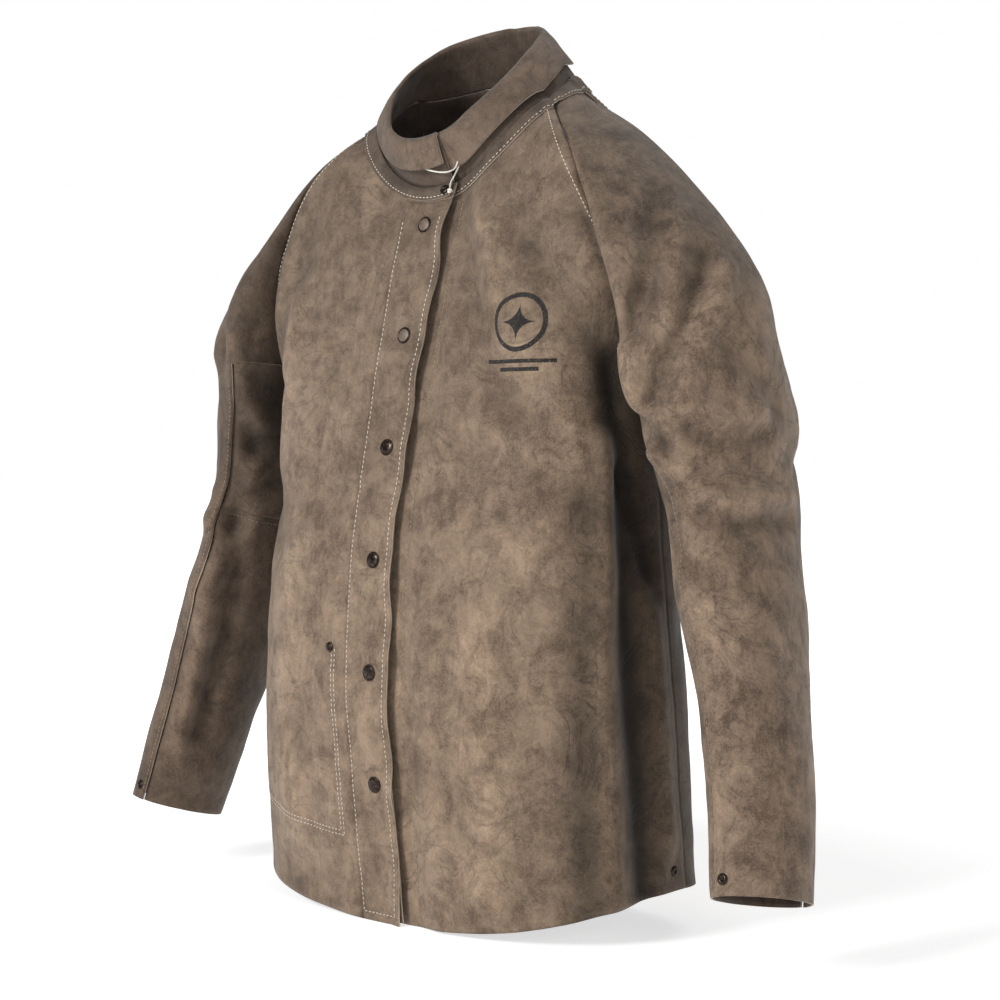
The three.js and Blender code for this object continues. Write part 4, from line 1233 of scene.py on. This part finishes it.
raglan_rows = along(260, ARMPIT_ROW + 0.005, 0.985)
raglan_lines = []
for face, side, turn in ((right_front, -1, 1), (left_front, 1, -1)):
    step = beside_seam(raglan_rows, True, SEAM_INSET)
    last = front_angle(side, raglan_rows, PLACKET_ROOT if side < 0 else LEFT_FACING_EDGE)
    share = step / (last - seam_edge(raglan_rows)) * (1 if side < 0 else LEFT_SHARE)
    raglan_lines.append(seam_line(face, share, raglan_rows, turn, lap=body_lap))
for mirror in (False, True):
    step = beside_seam(raglan_rows, False, SEAM_INSET) / (180 - 2 * seam_edge(raglan_rows))
    raglan_lines.append(seam_line(back_panel, 1 - step if mirror else step, raglan_rows, 1, lap=body_lap))
stitches("raglan_stitching", raglan_lines, pale_thread, body="torso")

strip_lines = [seam_line(strip_face, along(900, 0.004, 0.996), 0.8, -1, depth=strip_out, lap=body_lap)]
stitches("neck_stitching", strip_lines, pale_thread, body="torso")

for side in (1, -1):
    hand = "left" if side > 0 else "right"
    shaped = (lambda face: face) if side > 0 else mirrored
    lines = []
    for place in (0.262, 0.738):
        rows = along(420, SHOULDER_PART + 0.03, 0.985)
        lines.append(seam_line(shaped(sleeve_skin), np.full(420, place), rows, -side, lap=sleeve_lap))
    forearm = shaped(under_skin((ELBOW_SHARE, 1.0)))
    lines.append(seam_line(forearm, along(120, 0.06, 0.94), 0.02, -side, lap=under_lap))
    stitches(f"{hand}_sleeve_stitching", lines, tan_thread, blend=sleeve_blend(side), radius=0.42)


# ---------- fasteners ----------
def spun(name, profile, place, axis, materials, body, stands_for, segments=36, ring_material=None):
    """A turned piece from (radius, height) rows, set on a point of the leather."""
    bm = bmesh.new()
    ring = [bm.verts.new((radius, 0, height)) for radius, height in profile]
    edges = [bm.edges.new(pair) for pair in zip(ring[:-1], ring[1:])]
    bmesh.ops.spin(bm, geom=ring + edges, cent=(0, 0, 0), axis=(0, 0, 1), angle=math.tau, steps=segments,
                   use_merge=True)
    bmesh.ops.remove_doubles(bm, verts=bm.verts[:], dist=0.01)
    bmesh.ops.recalc_face_normals(bm, faces=bm.faces[:])
    if ring_material is not None:
        for bm_face in bm.faces:
            middle = bm_face.calc_center_median()
            bm_face.material_index = 1 if math.hypot(middle.x, middle.y) > ring_material else 0
    turn = Vector((0, 0, 1)).rotation_difference(Vector(axis)).to_matrix().to_4x4()
    bmesh.ops.transform(bm, matrix=turn, verts=bm.verts[:])
    for vert in bm.verts:
        vert.co = Vector(to_frame(np.array(place) + np.array(vert.co)))
    made = object_from(bm, name, materials)
    if stands_for:
        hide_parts(stands_for)
    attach(made, body)
    return made


CAP_PROFILE = [
    (0, 1.9), (1.5, 1.86), (3.0, 1.72), (4.3, 1.5), (5.3, 1.22), (5.75, 1.0), (6.0, 0.95), (6.3, 1.05),
    (6.8, 1.12), (7.25, 0.95), (7.5, 0.6), (7.45, 0.2), (7.1, -0.1), (6.2, -0.2), (1.6, -0.2),
    (1.6, -4.6), (0, -4.6),
]
for i, (place, axis) in enumerate(snap_spots):
    upper = i < 2
    materials = [brown_cap if upper else black_metal, black_metal]
    spun(f"press_stud_cap_{i + 1}", CAP_PROFILE, place, axis, materials, "placket", f"snap_cap_{i + 1}",
         ring_material=5.6)

RIVET_PROFILE = [
    (0, 0.55), (0.9, 0.6), (1.25, 1.0), (1.7, 1.35), (2.4, 1.5), (3.3, 1.4), (4.1, 1.05), (4.65, 0.55),
    (4.7, 0.2), (4.4, -0.05), (1.4, -0.05), (1.4, -3.4), (3.9, -3.4), (3.9, -4.1), (0, -4.1),
]


def head_spot(node_name):
    """A rivet's place and axis, from its own solid: the axis is its short way."""
    mesh = frame["nodes"][node_name].data
    points = np.array([vert.co for vert in mesh.vertices], float) / METRES - SHIFT
    middle = points.mean(0)
    cover = np.zeros((3, 3))
    for polygon in mesh.polygons:
        normal = np.array(polygon.normal)
        cover += polygon.area * np.outer(normal, normal)
    axis = np.linalg.eigh(cover)[1][:, -1]
    heights = (points - middle) @ axis
    wide = np.linalg.norm(points - middle - np.outer(heights, axis), axis=1)
    widest = heights[wide > wide.max() - 0.05].mean()
    if widest < heights.mean():
        axis, heights, widest = -axis, -heights, -widest
    return middle + axis * (widest - RIVET_PLY), axis


for node_name in RIVETS + ["collar_rivet", "hang_tab_rivet_left", "hang_tab_rivet_right"]:
    place, axis = head_spot(node_name)
    body = frame["nodes"][node_name]["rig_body"]
    spun(f"{node_name}_tubular", RIVET_PROFILE, place, axis, [black_metal], body, node_name)

for name, made in frame["nodes"].items():
    if name.startswith(("snap_socket", "snap_stud", "snap_post")):
        made.data.materials.clear()
        made.data.materials.append(black_metal if "post" in name else spring_steel)


# ---------- tag string ----------
STRING_ROUTE = [
    (34.0, -58.2, 657.8), (33.0, -56.2, 662), (33.0, -52.8, 667), (34.4, -50.0, 673), (37.4, -48.9, 679),
    (40.6, -48.7, 684.5), (42.7, -48.4, 690), (42.4, -49.4, 694), (40.0, -50.5, 695.3), (38.0, -50.4, 692.2),
    (36.8, -50.2, 686), (35.8, -50.6, 680), (35.2, -53.4, 675), (32.8, -57.4, 672.4), (28.4, -59.0, 671.8),
    (23.2, -59.7, 672.2), (17.6, -60.6, 673.2), (11.6, -61.7, 674.8), (6.0, -62.9, 677.0),
]
KNOT = (34.2, -58.6, 655)
KNOT_RADIUS = 2.2
STRING_THICKNESS = 1.4


def curve_through(places, per_span=6):
    p = np.array(places, float)
    p = np.vstack([2 * p[0] - p[1], p, 2 * p[-1] - p[-2]])
    made = []
    for i in range(1, len(p) - 2):
        for t in np.linspace(0, 1, per_span, endpoint=False):
            a = 2 * p[i] + (p[i + 1] - p[i - 1]) * t
            b = (2 * p[i - 1] - 5 * p[i] + 4 * p[i + 1] - p[i + 2]) * t**2
            c = (3 * p[i] - p[i - 1] - 3 * p[i + 1] + p[i + 2]) * t**3
            made.append(0.5 * (a + b + c))
    return np.array(made + [p[-2]])


def tag_string():
    route = to_frame(curve_through(STRING_ROUTE))
    data = bpy.data.curves.new("tag_twine", "CURVE")
    data.dimensions = "3D"
    data.bevel_depth = STRING_THICKNESS / 2 * METRES
    data.bevel_resolution = 3
    data.use_fill_caps = True
    spline = data.splines.new("POLY")
    spline.points.add(len(route) - 1)
    spline.points.foreach_set("co", np.column_stack([route, np.ones(len(route))]).ravel())
    data.materials.append(cotton)
    twine = link("tag_twine", data)
    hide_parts("tag_string")
    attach(twine, "torso")
    bm = bmesh.new()
    bmesh.ops.create_icosphere(bm, subdivisions=4, radius=KNOT_RADIUS)
    for vert in bm.verts:
        turn = math.atan2(vert.co.y, vert.co.x)
        swell = 1 + 0.16 * math.sin(3 * turn + vert.co.z * 2.4) + 0.05 * noise.noise(vert.co)
        vert.co = Vector(to_frame(np.array(KNOT) + np.array(vert.co * swell)))
    knot = object_from(bm, "tag_twine_knot", [cotton])
    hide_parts("tag_string_knot")
    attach(knot, "torso")
    tuple(route[0])


tag_string()


# ---------- floor and light ----------
def stage():
    bm = bmesh.new()
    bmesh.ops.create_circle(bm, cap_ends=True, segments=96, radius=30)
    floor = object_from(bm, "floor", [])
    floor.location.z = -0.0005
    material, tree, shader = new_material("pale_floor", (0.62, 0.62, 0.62), 1.0)
    shader.inputs["Specular IOR Level"].default_value = 0
    shader.inputs["Emission Color"].default_value = (1, 1, 1, 1)
    place = node(tree, "ShaderNodeTexCoord").outputs["Object"]
    away = vector_node(tree, "LENGTH", {0: place}, "Value")
    reach = {"From Min": 0.45, "From Max": 1.5, "To Min": 0.66, "To Max": 1.15}
    far = node(tree, "ShaderNodeMapRange", {"Value": away, **reach})
    tree.links.new(far.outputs["Result"], shader.inputs["Emission Strength"])
    floor.data.materials.append(material)
    world = bpy.data.worlds.new("studio")
    world.use_nodes = True
    tree = world.node_tree
    back = tree.nodes["Background"]
    back.inputs["Color"].default_value = (1, 1, 1, 1)
    path = node(tree, "ShaderNodeLightPath").outputs["Is Camera Ray"]
    level = node(tree, "ShaderNodeMapRange", {"Value": path, "To Min": 0.24, "To Max": 1.0})
    tree.links.new(level.outputs["Result"], back.inputs["Strength"])
    bpy.context.scene.world = world


def lamp(name, place, target, size, power):
    data = bpy.data.lights.new(name, "AREA")
    data.shape = "DISK"
    data.size = size
    data.energy = power
    made = bpy.data.objects.new(name, data)
    made.location = place
    made.rotation_euler = (Vector(target) - Vector(place)).to_track_quat("-Z", "Y").to_euler()
    bpy.context.scene.collection.objects.link(made)


stage()
lamp("key_light", (-0.5, -2.8, 1.7), (0, 0, 0.42), 1.0, 78)
lamp("fill_light", (2.7, -1.5, 1.3), (0, 0, 0.4), 0.9, 20)
lamp("top_light", (0.3, 1.2, 2.6), (0, 0, 0.5), 1.4, 12)
bpy.context.scene.view_settings.view_transform = "Standard"
